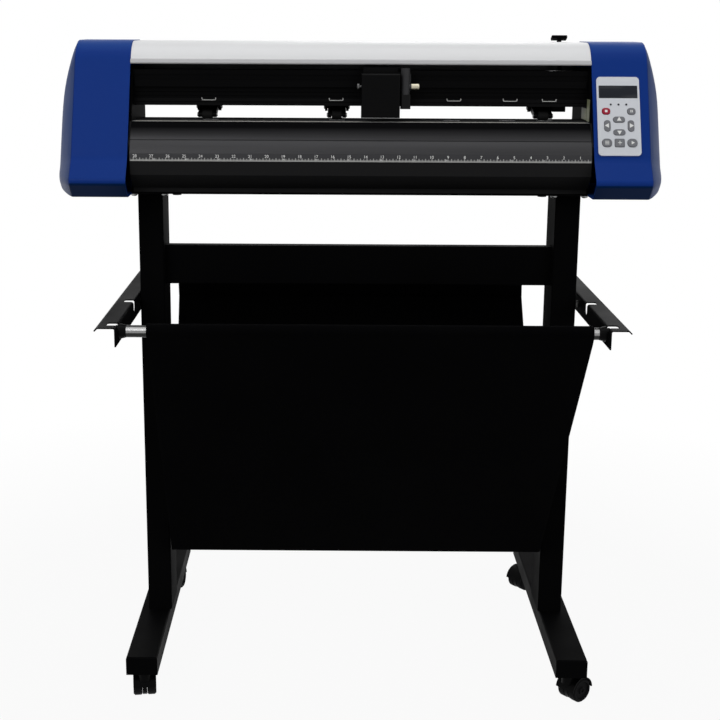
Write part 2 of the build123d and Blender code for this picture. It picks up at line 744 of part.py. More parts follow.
with BuildPart() as drive_motors:
    # feed motor on the left side plate
    with BuildSketch(Plane.YZ.offset(-motor_x)):
        with Locations((shaft_y, shaft_z)):
            RectangleRounded(motor_size, motor_size, 5)
    extrude(amount=-motor_length)
    with BuildSketch(Plane.YZ.offset(-motor_x)):
        with Locations((shaft_y, shaft_z)):
            Circle(11 - run_gap)
    extrude(amount=2)
    with BuildSketch(Plane.YZ.offset(-motor_x)):
        with Locations((shaft_y, shaft_z)):
            Circle(motor_shaft / 2)
    extrude(amount=side_plate + 20)
    # carriage motor hung under the right shelf
    with BuildSketch(Plane.XY.offset(tab_z)):
        with Locations((pulley_span, belt_y)):
            RectangleRounded(motor_size, motor_size, 5)
    extrude(amount=-motor_length)
    with BuildSketch(Plane.XY.offset(tab_z)):
        with Locations((pulley_span, belt_y)):
            Circle(11 - run_gap)
    extrude(amount=sheet)
    with BuildSketch(Plane.XY.offset(tab_z)):
        with Locations((pulley_span, belt_y)):
            Circle(motor_shaft / 2)
    extrude(amount=belt_z + belt_width + 3 - tab_z)
finish(drive_motors, "drive_motors")


def belt_pulley(x):
    with BuildPart() as pulley:
        with BuildSketch(Plane.XY.offset(belt_z)):
            with Locations((x, belt_y)):
                Circle(pulley_dia / 2)
        extrude(amount=belt_width)
        with BuildSketch(Plane.XY.offset(belt_z)):
            with Locations((x, belt_y)):
                with PolarLocations(pulley_dia / 2, 16):
                    Rectangle(1.4, 1.6)
        extrude(amount=belt_width, mode=Mode.SUBTRACT)
        for z in (belt_z - seat_gap - 1.2, belt_z + belt_width + seat_gap):
            with BuildSketch(Plane.XY.offset(z)):
                with Locations((x, belt_y)):
                    Circle(pulley_dia / 2 + belt_wall + 1)
            extrude(amount=1.2)
        with BuildSketch(Plane.XY.offset(belt_z - seat_gap)):
            with Locations((x, belt_y)):
                Circle(pulley_dia / 2 - 1.5)
        extrude(amount=belt_width + 2 * seat_gap)
        with BuildSketch(Plane.XY.offset(belt_z - 5)):
            with Locations((x, belt_y)):
                Circle(motor_shaft / 2 + run_gap)
        extrude(amount=belt_width + 10, mode=Mode.SUBTRACT)
    return pulley


carriage_drive_pulley = belt_pulley(pulley_span)
finish(carriage_drive_pulley, "carriage_drive_pulley")
carriage_idler_pulley = belt_pulley(-pulley_span)
finish(carriage_idler_pulley, "carriage_idler_pulley")

belt_inner = pulley_dia + 2 * seat_gap
with BuildPart() as carriage_belt:
    with BuildSketch(Plane.XY.offset(belt_z)):
        with Locations((0, belt_y)):
            SlotCenterToCenter(2 * pulley_span, belt_inner + 2 * belt_wall)
            SlotCenterToCenter(2 * pulley_span, belt_inner, mode=Mode.SUBTRACT)
    extrude(amount=belt_width)
finish(carriage_belt, "carriage_belt")

# ================= pinch rollers =================
pinch_names = ("left", "middle", "right")


def pinch_bracket(x):
    low = pivot_z - 6.5
    with BuildPart() as bracket:
        with BuildSketch(Plane.YZ.offset(x - bracket_width / 2)):
            with Locations((beam_rear + slide_gap, pivot_z + 7)):
                Rectangle(pivot_y + 4 - beam_rear, beam_top - 6 - pivot_z - 7, align=Align.MIN)
            with Locations((beam_rear, tee_z)):
                Rectangle(4, 5 + 2 * slide_gap, align=(Align.MIN, Align.CENTER), mode=Mode.SUBTRACT)
            with Locations((beam_rear + 3 - slide_gap, tee_z)):
                Rectangle(3 + 2 * slide_gap, 11 + 2 * slide_gap, align=(Align.MIN, Align.CENTER),
                          mode=Mode.SUBTRACT)
        extrude(amount=bracket_width)
        for side in (-1, 1):
            with BuildSketch(Plane.YZ.offset(x + side * (bracket_width / 2 - cheek))):
                with Locations((pivot_y, pivot_z)):
                    Circle(6.5)
                with Locations((pivot_y, low + 6.5)):
                    Rectangle(13, 20, align=(Align.CENTER, Align.MIN))
            extrude(amount=side * cheek)
        # pivot pin from cheek to cheek
        with BuildSketch(Plane.YZ.offset(x - bracket_width / 2)):
            with Locations((pivot_y, pivot_z)):
                Circle(pinch_axle / 2)
        extrude(amount=bracket_width)
    return bracket


def pinch_arm(x):
    width = bracket_width - 2 * cheek - 1.0
    tail_y = lift_y + cam_throw
    tail_z = lift_z - cam_dia / 2 - 0.5
    with BuildPart() as arm:
        with BuildSketch(Plane.YZ.offset(x - width / 2)):
            with BuildLine():
                Polyline((shaft_y, pinch_z - 4), (shaft_y, pinch_z + 4.5), (pivot_y, pivot_z + 5),
                         (pivot_y + 6, pivot_z + 5), (tail_y - 2, tail_z), (tail_y + 6, tail_z),
                         (tail_y + 6, tail_z - 3), (pivot_y + 4, pivot_z - 4), (pivot_y, pivot_z - 5),
                         close=True)
            make_face()
            with Locations((shaft_y, pinch_z)):
                Circle(4.5)
            with Locations((pivot_y, pivot_z)):
                Circle(pinch_axle / 2 + run_gap, mode=Mode.SUBTRACT)
        extrude(amount=width)
        # fork that straddles the wheel
        with BuildSketch(Plane.YZ.offset(x - pinch_wheel_width / 2 - 0.5)):
            with Locations((shaft_y, pinch_z)):
                Circle(pinch_wheel_dia / 2 + 1.5)
        extrude(amount=pinch_wheel_width + 1, mode=Mode.SUBTRACT)
        with BuildSketch(Plane.YZ.offset(x - width / 2)):
            with Locations((shaft_y, pinch_z)):
                Circle(pinch_axle / 2)
        extrude(amount=width)
    return arm


def pinch_wheel(x):
    with BuildPart() as wheel:
        with BuildSketch(Plane.YZ.offset(x - pinch_wheel_width / 2)):
            with Locations((shaft_y, pinch_z)):
                Circle(pinch_wheel_dia / 2)
        extrude(amount=pinch_wheel_width)
        chamfer(wheel.edges().filter_by(GeomType.CIRCLE), 0.8)
        with BuildSketch(Plane.YZ.offset(x - pinch_wheel_width / 2)):
            with Locations((shaft_y, pinch_z)):
                Circle(pinch_axle / 2 + run_gap)
        extrude(amount=pinch_wheel_width, mode=Mode.SUBTRACT)
    return wheel


for x, name in zip(pinch_places, pinch_names):
    bracket = pinch_bracket(x)
    finish(bracket, f"pinch_bracket_{name}")
    arm = pinch_arm(x)
    finish(arm, f"pinch_arm_{name}")
    wheel = pinch_wheel(x)
    finish(wheel, f"pinch_wheel_{name}")

# lever, with the cam bar that presses the tails of the pinch arms
rest_lean = radians(20)
grip_length, grip_width, grip_height = grip_size
with BuildPart() as pinch_lever:
    with BuildSketch(Plane.YZ.offset(-half_bed + 5)):
        with Locations((lift_y + cam_throw, lift_z)):
            Circle(cam_dia / 2)
    extrude(amount=bed_length - 10)
    with BuildSketch(Plane.YZ.offset(-half_bed - side_plate)):
        with Locations((lift_y, lift_z)):
            Circle(4)
    extrude(amount=bed_length + 2 * side_plate)
    lever_plane = Plane(origin=(lever_x, lift_y, lift_z), x_dir=(0, cos(rest_lean), -sin(rest_lean)),
                        z_dir=(1, 0, 0))
    with BuildSketch(lever_plane.offset(-3)):
        Circle(11)
        Rectangle(9, lever_reach - 3, align=(Align.CENTER, Align.MIN))
    extrude(amount=6)
    # grip outside the cover
    with BuildSketch(lever_plane.offset(-grip_length / 2)):
        with Locations((0, lever_reach)):
            RectangleRounded(grip_width, grip_height, 2, align=(Align.CENTER, Align.MAX))
    extrude(amount=grip_length)
    chamfer(pinch_lever.faces().filter_by(Axis.X).sort_by(Axis.Z)[-2:].edges(), 0.8)
finish(pinch_lever, "pinch_lever")

# ================= carriage =================
carriage_left = carriage_x - carriage_width / 2
carriage_right = carriage_x + carriage_width / 2
block_front = rail_front - 6
pin_y = block_front + 2.8
pin_places = (tool_x - 3.4, tool_x + 4.6)
lug_top = rail_z + 16
lug_low = rail_z - 22
with BuildPart() as carriage:
    # bearing block that wraps the rail
    with BuildSketch(Plane.YZ.offset(carriage_left + 3)):
        with Locations((block_front, rail_z)):
            Rectangle(beam_front - 0.5 - block_front, 30, align=(Align.MIN, Align.CENTER))
        with Locations((rail_front - slide_gap, rail_z)):
            Rectangle(rail_depth + 1, rail_height + 2 * slide_gap, align=(Align.MIN, Align.CENTER),
                      mode=Mode.SUBTRACT)
        # riser and shelf that reach over the beam to the belt
        with Locations((block_front, rail_z)):
            Rectangle(5, beam_top + 5 - rail_z, align=Align.MIN)
        with Locations((block_front, beam_top + 1)):
            Rectangle(belt_y - pulley_dia / 2 + 3 - block_front, 4, align=Align.MIN)
    extrude(amount=carriage_width - 6)
    # clamp on the front run of the belt
    belt_run = belt_y - pulley_dia / 2 - seat_gap - belt_wall / 2
    with BuildSketch(Plane.XY.offset(beam_top + 5)):
        with Locations((carriage_x, belt_run)):
            Rectangle(24, belt_wall + 6)
            Rectangle(24, belt_wall + 2 * seat_gap, mode=Mode.SUBTRACT)
    extrude(amount=belt_z + belt_width - beam_top - 5)
    # lugs and guide pins for the tool slide
    for z in (lug_top, lug_low):
        with BuildSketch(Plane.XY.offset(z)):
            with Locations((carriage_right - 6, block_front)):
                Rectangle(tool_x + 9 - carriage_right + 6, 7.5, align=Align.MIN)
        extrude(amount=3)
    with BuildSketch(Plane.XY.offset(lug_low)):
        with Locations((carriage_right - 9, block_front)):
            Rectangle(6, 7.5, align=Align.MIN)
    extrude(amount=rail_z - 15 - lug_low)
    with BuildSketch(Plane.XY.offset(lug_low)):
        for x in pin_places:
            with Locations((x, pin_y)):
                Circle(1.5)
    extrude(amount=lug_top - lug_low)
finish(carriage, "carriage")

cover_low = platen_z + carriage_drop
cover_high = beam_top - 4.5
cover_rear = block_front - 0.3
with BuildPart() as carriage_cover:
    with BuildSketch(Plane.XY.offset(cover_low)):
        with Locations((carriage_x, carriage_front)):
            Rectangle(carriage_width, cover_rear - carriage_front, align=(Align.CENTER, Align.MIN))
    extrude(amount=cover_high - cover_low)
    fillet(carriage_cover.edges().group_by(Axis.Y)[0], 2.5)
    offset(amount=-1.8, openings=carriage_cover.faces().sort_by(Axis.Y)[-1])
finish(carriage_cover, "carriage_cover")

slide_height = 25.0
with BuildPart() as tool_holder:
    slide_z = lug_top - seat_gap - slide_height
    with BuildSketch(Plane.XY.offset(slide_z)):
        with Locations((tool_x + 1, block_front)):
            Rectangle(16, rail_front - 0.4 - block_front, align=(Align.CENTER, Align.MIN))
        with Locations((tool_x, tool_y)):
            Rectangle(9, block_front + 2 - tool_y, align=(Align.CENTER, Align.MIN))
    extrude(amount=slide_height)
    with BuildSketch(Plane.XY.offset(platen_z + 42)):
        with Locations((tool_x, tool_y)):
            Circle(sleeve_dia / 2)
    extrude(amount=beam_top + 4 - platen_z - 42)
    with BuildSketch(Plane.XY.offset(platen_z + 20)):
        with Locations((tool_x + 0.5, tool_y)):
            RectangleRounded(15.5, 2 * (block_front - 0.3 - tool_y), 2.5)
    extrude(amount=22)
    with BuildSketch(Plane.YZ.offset(tool_x + 4)):
        with Locations((tool_y, rail_z - 3)):
            Circle(4.5)
    extrude(amount=5)
    with BuildSketch(Plane.XY.offset(platen_z)):
        with Locations((tool_x, tool_y)):
            Circle(tool_bore / 2)
        for x in pin_places:
            with Locations((x, pin_y)):
                Circle(1.5 + run_gap)
    extrude(amount=beam_height + 40, mode=Mode.SUBTRACT)
    with BuildSketch(Plane.YZ.offset(tool_x + 3)):
        with Locations((tool_y, rail_z - 3)):
            Circle(2 + run_gap)
    extrude(amount=8, mode=Mode.SUBTRACT)
finish(tool_holder, "tool_holder")

with BuildPart() as clamp_knob:
    with BuildSketch(Plane.YZ.offset(tool_x + tool_bore / 2 + 0.4)):
        with Locations((tool_y, rail_z - 3)):
            Circle(2)
    extrude(amount=4)
    with BuildSketch(Plane.YZ.offset(tool_x + 9 + slide_gap)):
        with Locations((tool_y, rail_z - 3)):
            Circle(knob_dia / 2)
    extrude(amount=knob_length)
    fillet(clamp_knob.edges().filter_by(GeomType.CIRCLE).sort_by(Axis.X)[-1], 1.5)
finish(clamp_knob, "clamp_knob")

# ================= control panel =================
display_size = (60.0, 20.8)
display_rise = 39.4
# name, centre across and up the panel, width, height, corner radius
keys = (("stop_key", -19.5, 7.6, 12.4, 10.4, 4.5), ("pause_key", 19.5, 7.6, 12.4, 10.4, 4.5),
        ("up_key", 0.0, -5.8, 18.0, 9.4, 4.4), ("left_key", -18.2, -15.9, 9.4, 18.0, 4.4),
        ("right_key", 18.2, -15.9, 9.4, 18.0, 4.4), ("down_key", 0.0, -26.4, 18.0, 9.4, 4.4),
        ("menu_key", -19.5, -43.5, 15.0, 13.2, 6.0), ("zero_key", 0.0, -43.5, 15.0, 13.2, 2.0),
        ("enter_key", 19.5, -43.5, 15.0, 13.2, 6.0))
with BuildPart() as control_panel:
    with BuildSketch(panel_plane):
        RectangleRounded(panel_width, panel_length, 6)
    extrude(amount=panel_thick)
    with BuildSketch(panel_plane):
        for name, x, y, width, height, corner in keys:
            with Locations((x, y)):
                RectangleRounded(width + 2 * key_gap, height + 2 * key_gap, corner + key_gap)
    extrude(amount=panel_thick, mode=Mode.SUBTRACT)
    with BuildSketch(panel_plane.offset(panel_thick - 1)):
        with Locations((0, display_rise)):
            RectangleRounded(*display_size, 1.5)
    extrude(amount=1, mode=Mode.SUBTRACT)

with BuildPart() as display:
    with BuildSketch(panel_plane.offset(panel_thick - 1)):
        with Locations((0, display_rise)):
            RectangleRounded(*display_size, 1.5)
    extrude(amount=0.7)
# the display is a second solid, set into the panel
finish(control_panel, "control_panel", display.part)


def panel_key(x, y, width, height, corner):
    with BuildPart() as key:
        with BuildSketch(panel_plane.offset(-0.8)):
            with Locations((x, y)):
                RectangleRounded(width, height, corner)
        extrude(amount=panel_thick + key_proud + 0.8)
        chamfer(key.faces().sort_by(Axis.Y)[0].edges(), 0.5)
    return key


for name, x, y, width, height, corner in keys:
    key = panel_key(x, y, width, height, corner)
    finish(key, name)

# ================= mains inlet at the back =================
with BuildPart() as power_inlet:
    with BuildSketch(Plane.XZ.offset(-cover_back)):
        with Locations((inlet_x, inlet_z)):
            RectangleRounded(32, 56, 3)
    extrude(amount=-2)
    with BuildSketch(Plane.XZ.offset(-cover_back)):
        with Locations((inlet_x, inlet_z)):
            Rectangle(23, 45)
    extrude(amount=18)
    rear_face = cover_back + 2
    with BuildSketch(Plane.XZ.offset(-rear_face)):
        with Locations((inlet_x, inlet_z - 9)):
            RectangleRounded(19, 21, 2.5)
        with Locations((inlet_x, inlet_z + 13)):
            Rectangle(13, 15)
    extrude(amount=16, mode=Mode.SUBTRACT)
    with BuildSketch(Plane.XZ.offset(-(rear_face - 16))):
        with Locations((inlet_x - 5.5, inlet_z - 11), (inlet_x + 5.5, inlet_z - 11),
                       (inlet_x, inlet_z - 5)):
            Rectangle(2, 4)
    extrude(amount=-12)
finish(power_inlet, "power_inlet")

with BuildPart() as power_rocker:
    with BuildSketch(Plane.YZ.offset(inlet_x - 6)):
        with Locations((rear_face - 5, inlet_z + 13)):
            Circle(4)
            Polygon((0, -6.6), (6.8, -6.6), (5.4, 0), (6.2, 6.6), (0, 6.6), (-2.5, 0), align=None)
    extrude(amount=12)
finish(power_rocker, "power_rocker")
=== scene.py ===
import bmesh
import bpy
from math import acos, atan2, cos, hypot, pi, radians, sin
from mathutils import Matrix, Vector, noise


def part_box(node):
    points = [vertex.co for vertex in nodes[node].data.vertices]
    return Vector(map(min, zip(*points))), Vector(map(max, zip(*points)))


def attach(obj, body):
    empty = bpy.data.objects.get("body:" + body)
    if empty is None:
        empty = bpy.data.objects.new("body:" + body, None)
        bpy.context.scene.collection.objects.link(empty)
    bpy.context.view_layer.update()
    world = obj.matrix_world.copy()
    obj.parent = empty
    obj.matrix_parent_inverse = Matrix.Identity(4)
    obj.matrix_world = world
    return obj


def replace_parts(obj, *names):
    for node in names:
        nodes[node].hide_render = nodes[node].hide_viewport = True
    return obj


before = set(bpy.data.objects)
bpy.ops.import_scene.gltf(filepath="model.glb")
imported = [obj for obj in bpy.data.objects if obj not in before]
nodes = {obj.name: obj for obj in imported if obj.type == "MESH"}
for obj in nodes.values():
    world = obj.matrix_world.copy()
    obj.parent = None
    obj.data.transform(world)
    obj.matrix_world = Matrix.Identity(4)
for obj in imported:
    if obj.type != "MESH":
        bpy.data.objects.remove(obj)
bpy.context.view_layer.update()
print("frame loaded with", len(nodes), "nodes")

scene = bpy.context.scene
scene.view_settings.view_transform = "Standard"

# camera: place and farthest sight in metres, lens and film in mm, turns in degrees
cameraSizes = {"place": (-0.04467, -2.27415, 1.07206), "lens": 69.55, "film": 36.0, "yaw": -0.349,
               "pitch": 13.684, "roll": -0.255, "shiftX": 0.0527, "farthest": 60}


def makeCamera(s):
    yaw, pitch, roll = (radians(s[k]) for k in ("yaw", "pitch", "roll"))
    ahead = Vector((sin(yaw) * cos(pitch), cos(yaw) * cos(pitch), -sin(pitch)))
    level = Vector((cos(yaw), -sin(yaw), 0.0))
    down = ahead.cross(level)
    right = level * cos(roll) + down * sin(roll)
    up = -(down * cos(roll) - level * sin(roll))
    data = bpy.data.cameras.new("camera")
    data.lens, data.sensor_width, data.shift_x = s["lens"], s["film"], s["shiftX"]
    data.clip_end = s["farthest"]
    cam = bpy.data.objects.new("camera", data)
    turn = Matrix((right, up, -ahead)).transposed().to_4x4()
    cam.matrix_world = Matrix.Translation(s["place"]) @ turn
    scene.collection.objects.link(cam)
    scene.camera = cam


makeCamera(cameraSizes)


# sums on sockets, then the class that every node and material comes from
class Wire:
    # a node's output that can be used in sums
    def __init__(self, home, out):
        self.home, self.out = home, out

    def join(self, how, first, second):
        return self.home.node("Math", {"operation": how}, {0: first, 1: second})

    def __add__(self, other):
        return self.join("ADD", self, other)

    def __radd__(self, other):
        return self.join("ADD", other, self)

    def __sub__(self, other):
        return self.join("SUBTRACT", self, other)

    def __rsub__(self, other):
        return self.join("SUBTRACT", other, self)

    def __mul__(self, other):
        return self.join("MULTIPLY", self, other)

    def __rmul__(self, other):
        return self.join("MULTIPLY", other, self)

    def __mod__(self, other):
        return self.join("FLOORED_MODULO", self, other)

    def __gt__(self, other):
        return self.join("GREATER_THAN", self, other)

    def __lt__(self, other):
        return self.join("LESS_THAN", self, other)

    def __abs__(self):
        return self.join("ABSOLUTE", self, 0.0)

    def sine(self):
        return self.join("SINE", self, 0.0)

    def root(self):
        return self.join("POWER", self, 0.5)


class Nodes:
    # a tree of shader nodes; every new node comes from node()
    def __init__(self, tree):
        self.tree = tree

    def feed(self, socket, value):
        if isinstance(value, Wire):
            self.tree.links.new(value.out, socket)
        else:
            socket.default_value = value

    def node(self, kind, settings, inputs, out=0):
        made = self.tree.nodes.new("ShaderNode" + kind)
        stops = settings.pop("stops", None)
        for key, value in settings.items():
            setattr(made, key, value)
        if stops:
            while len(made.color_ramp.elements) < len(stops):
                made.color_ramp.elements.new(0.5)
            for stop, (place, tone) in zip(made.color_ramp.elements, stops):
                stop.position, stop.color = place, tone
        for key, value in inputs.items():
            self.feed(made.inputs[key], value)
        return Wire(self, made.outputs[out])

    def lookedAt(self):
        # 1 on rays from the camera, a mirror or glass, 0 on the light that falls on things
        rays = self.node("LightPath", {}, {}).out.node.outputs
        camera, mirror, glass = (Wire(self, rays[kind]) for kind in
                                 ("Is Camera Ray", "Is Glossy Ray", "Is Transmission Ray"))
        return camera.join("MAXIMUM", camera.join("MAXIMUM", camera, mirror), glass)


class Paint(Nodes):
    # one material; gloss is its specular level
    def __init__(self, name, colour, rough, metal=0.0, gloss=0.5):
        self.mat = bpy.data.materials.new(name)
        self.mat.use_nodes = True
        super().__init__(self.mat.node_tree)
        self.shader = self.tree.nodes["Principled BSDF"]
        self.set({"Base Color": (*colour, 1.0), "Roughness": rough, "Metallic": metal,
                  "Specular IOR Level": gloss})

    def set(self, sockets):
        for name, value in sockets.items():
            self.feed(self.shader.inputs[name], value)

    def place(self):
        return self.node("TexCoord", {}, {}, "Object")

    def split(self, vector):
        made = self.node("SeparateXYZ", {}, {0: vector}).out.node
        return [Wire(self, out) for out in made.outputs]

    def axes(self):
        return self.split(self.place())

    def facing(self):
        return self.split(self.node("TexCoord", {}, {}, "Normal"))

    def cloud(self, scale, detail=3.0, where=None):
        return self.node("TexNoise", {}, {"Vector": where or self.place(), "Scale": scale,
                                          "Detail": detail, "Roughness": 0.5})

    def streaks(self, scale, detail=4.0):
        # noise drawn out along the axis with the smallest scale
        stretched = self.node("Mapping", {}, {"Vector": self.place(), "Scale": scale})
        return self.cloud(1.0, detail, stretched)

    def between(self, mask, first, second):
        mixed = self.node("Mix", {"data_type": "RGBA"}, {"Factor": mask})
        made = mixed.out.node
        for key, value in (("A", first), ("B", second)):
            socket = [i for i in made.inputs if i.name == key and i.type == "RGBA"][0]
            self.feed(socket, value if isinstance(value, Wire) else (*value, 1.0))
        return Wire(self, [o for o in made.outputs if o.type == "RGBA"][0])

    def fade(self, wire, low, high, outLow=0.0, outHigh=1.0):
        return self.node("MapRange", {"clamp": True},
                         {0: wire, 1: low, 2: high, 3: outLow, 4: outHigh})

    def relief(self, height, strength, depth):
        bump = {"Height": height, "Strength": strength, "Distance": depth}
        self.set({"Normal": self.node("Bump", {}, bump)})


def shade(colour, k):
    return tuple(c * k for c in colour)


def coated(name, colour, rough, gloss=0.5, grain=1400.0, depth=0.00004, vary=0.18):
    # powder coat or moulded plastic: fine grain, faint smears in the gloss and tone
    paint = Paint(name, colour, rough, gloss=gloss)
    smear = paint.cloud(7.0, 4.0)
    paint.set({"Roughness": paint.fade(smear, 0.35, 0.68, rough - 0.07, rough + 0.08),
               "Base Color": paint.between(paint.fade(smear, 0.3, 0.7), shade(colour, 1 - vary),
                                           shade(colour, 1 + vary))})
    paint.relief(paint.cloud(grain, 2.0), 0.35, depth)
    return paint


def brushed(name, colour, rough, scale):
    # drawn metal: streaks along the stretched axis
    paint = Paint(name, colour, rough, 1.0)
    streak = paint.streaks(scale)
    paint.set({"Roughness": paint.fade(streak, 0.3, 0.7, rough - 0.08, rough + 0.12),
               "Base Color": paint.between(streak, shade(colour, 0.8), shade(colour, 1.12))})
    paint.relief(streak, 0.15, 0.00005)
    return paint


# coated: name, colour, roughness, gloss; brushed: name, colour, roughness, scale of the streaks
blackSteel = coated("black steel", (0.0015, 0.0015, 0.0017), 0.55, 0.013)
uprightSteel = coated("upright steel", (0.0026, 0.0026, 0.0028), 0.55, 0.003)
armSteel = coated("arm steel", (0.0024, 0.0024, 0.0027), 0.5, 0.018)
capGrey = coated("cap grey", (0.019, 0.044, 0.148), 0.46, 0.13, grain=1100.0, vary=0.08)
blackPlastic = coated("black plastic", (0.002, 0.002, 0.0022), 0.4, 0.04, grain=1300.0,
                      depth=0.00005, vary=0.1)
hoodBlack = coated("hood black", (0.002, 0.002, 0.0022), 0.36, 0.04, grain=1300.0, vary=0.12)
treadGrey = coated("tread grey", (0.0045, 0.0045, 0.005), 0.6, 0.05, grain=700.0, depth=0.00008,
                   vary=0.2)
rollerRubber = coated("roller rubber", (0.008,) * 3, 0.7, 0.06, grain=900.0, depth=0.00008,
                      vary=0.15)
boltSteel = brushed("bolt steel", (0.3,) * 3, 0.3, (500.0,) * 3)
stubSteel = brushed("stub steel", (0.1,) * 3, 0.4, (60.0, 800.0, 800.0))
knobBrass = brushed("knob brass", (0.46, 0.43, 0.33), 0.35, (60.0, 800.0, 800.0))
panelPale = coated("panel pale", (0.6, 0.62, 0.66), 0.45, 0.3, grain=1500.0, depth=0.00002,
                   vary=0.03)
keyGrey = coated("key grey", (0.16, 0.165, 0.18), 0.5, 0.2, grain=1500.0, depth=0.00003, vary=0.05)
keyRed = coated("key red", (0.3, 0.008, 0.03), 0.45, 0.2, grain=1500.0, depth=0.00003, vary=0.05)
liquidDark = Paint("liquid dark", (0.012, 0.014, 0.02), 0.16, gloss=0.12)
liquidDark.relief(liquidDark.cloud(60.0), 0.05, 0.0001)
printWhite = coated("print white", (0.75, 0.75, 0.74), 0.5, grain=1500.0, depth=0.00001, vary=0.04)
dullWhite = coated("dull white", (0.42, 0.42, 0.41), 0.5, grain=1500.0, depth=0.00001, vary=0.06)
patchOlive = coated("patch olive", (0.16, 0.17, 0.1), 0.5, grain=60.0, depth=0.0001, vary=0.6)
stripCream = coated("strip cream", (0.5, 0.47, 0.4), 0.55, grain=800.0, depth=0.00003, vary=0.08)

# front and top of the bed and foot of the ruler, where several finishes change
bedFront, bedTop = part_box("platen")[0][1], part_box("platen")[1][2]
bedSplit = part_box("ruler_strip")[0][2]

# tones of the blue enamel: low and high vary at random, top is painted light on upward faces, tuck
# is painted shade on downward faces
blueTonesAndPaintedLight = {"low": (0.0057, 0.031, 0.195), "high": (0.0063, 0.033, 0.205),
             "top": (0.014, 0.058, 0.25), "topLightFrom": 0.65,
             "tuck": (0.0003, 0.016, 0.075), "tuckFrom": -0.2, "tuckFull": -0.35}


def bluePaint(s):
    # blue enamel with painted light, a little paler on faces that look up, and painted shade,
    # deeper on faces that look down where the cover tucks under
    paint = coated("cover blue", (0.006, 0.032, 0.2), 0.36, 0.035, grain=1100.0, depth=0.00003,
                   vary=0.05)
    level = paint.facing()[2]
    front = paint.between(paint.fade(paint.cloud(7.0, 4.0), 0.3, 0.7), s["low"], s["high"])
    # painted light on upward faces, then painted shade on downward faces
    front = paint.between(paint.fade(level, s["topLightFrom"], 1.0), front, s["top"])
    tuck = paint.fade(level, s["tuckFrom"], s["tuckFull"])
    paint.set({"Base Color": paint.between(tuck, front, s["tuck"])})
    return paint


# tones of the white enamel: bead is painted shade on the rolled lip, inside is painted shade on
# faces that look inwards
coverTonesAndShade = {"low": (0.69, 0.695, 0.705), "high": (0.71, 0.715, 0.725),
              "bead": (0.46, 0.46, 0.47), "beadOverBed": 0.0945, "beadY": -0.03,
              "inside": (0.0015, 0.0015, 0.0017), "middleY": 0.01, "middleZ": 0.985}


def whitePaint(s):
    # white enamel with painted shade: greyer on the rolled bead of the lip, black on faces that
    # look inwards
    paint = coated("white cover", (0.7, 0.705, 0.715), 0.36, 0.4, grain=900.0, depth=0.00002,
                   vary=0.015)
    x, y, z = paint.axes()
    turnX, turnY, turnZ = paint.facing()
    bead = (z < bedTop + s["beadOverBed"]) * (y < s["beadY"])
    plain = paint.between(paint.fade(paint.cloud(7.0, 4.0), 0.3, 0.7), s["low"], s["high"])
    outside = paint.between(bead, plain, s["bead"])
    # painted shade: faces that look inwards, away from the bead, turn black
    inwards = (turnY * (y - s["middleY"]) + turnZ * (z - s["middleZ"])) < 0.0
    paint.set({"Base Color": paint.between(inwards * (1.0 - bead), outside, s["inside"])})
    return paint


# tones of the bed: light is the metal, dark is the painted shade towards the top, below is the
# paint under the ruler
bedTonesAndShade = {"light": ((0.034, 0.034, 0.036), (0.045, 0.045, 0.047)),
            "dark": ((0.003, 0.003, 0.0034), (0.005, 0.005, 0.0055)),
            "below": (0.017, 0.017, 0.0175), "topShadeFrom": 0.026, "topShadeTo": 0.008}


def bedMetal(s):
    # dark anodised extrusion above the ruler, with painted shade that makes it darker towards the
    # top; black paint below the ruler
    paint = Paint("bed metal", (0.03, 0.03, 0.032), 0.4, gloss=0.0)
    height = paint.axes()[2]
    upper = height > bedSplit
    # painted shade: the metal blends to the dark tone towards the top
    rise = paint.fade(height, bedTop - s["topShadeFrom"], bedTop - s["topShadeTo"])
    streak = paint.streaks((6.0, 500.0, 500.0))
    light, dark = (paint.between(streak, *s[tone]) for tone in ("light", "dark"))
    metal = paint.between(rise, light, dark)
    paint.set({"Base Color": paint.between(upper, s["below"], metal),
               "Metallic": upper * (1.0 - rise) * 0.6,
               "Roughness": paint.fade(streak, 0.3, 0.7, 0.36, 0.48)})
    paint.relief(streak, 0.1, 0.00004)
    return paint


platenTones = {"bed": ((0.042, 0.042, 0.044), (0.062, 0.062, 0.064)), "skin": 0.0007,
               "side": (0.004, 0.004, 0.0045), "band": (0.26, 0.26, 0.26), "bandDeep": 0.013}


def platenPaint(s):
    # dark grey bed with a paler band along its front edge
    paint = Paint("platen", (0.05, 0.05, 0.052), 0.5, gloss=0.0)
    x, y, z = paint.axes()
    top = z > bedTop - s["skin"]
    streak = paint.streaks((5.0, 400.0, 400.0))
    bed = paint.between(top, s["side"], paint.between(streak, *s["bed"]))
    paint.set({"Base Color": paint.between((y < bedFront + s["bandDeep"]) * top, bed, s["band"]),
               "Roughness": paint.fade(streak, 0.3, 0.7, 0.42, 0.56)})
    paint.relief(streak, 0.1, 0.00004)
    return paint


plateTones = {"black": ((0.0015, 0.0015, 0.0017), (0.0022, 0.0022, 0.0024)),
              "edge": (0.02, 0.02, 0.022), "edgeDeep": 0.002}


def platePaint(s):
    # black side plates whose front edges carry on the extrusion's tone
    paint = Paint("side plate black", (0.0018, 0.0018, 0.002), 0.55, gloss=0.003)
    x, y, z = paint.axes()
    edge = (z > bedSplit) * (z < bedTop) * (y < bedFront + s["edgeDeep"])
    grain = paint.cloud(900.0, 2.0)
    paint.set({"Base Color": paint.between(edge, paint.between(grain, *s["black"]), s["edge"])})
    paint.relief(grain, 0.2, 0.00004)
    return paint


# painted reflection bands: height, from 0 at the foot of the tube to 1 at its top, and tone
rodReflections = {"reflectionBands": ((0.3, 0.01), (0.42, 0.025), (0.48, 0.24), (0.57, 0.3), (0.61, 0.11),
                      (0.67, 0.44), (0.83, 0.37), (0.93, 0.04))}


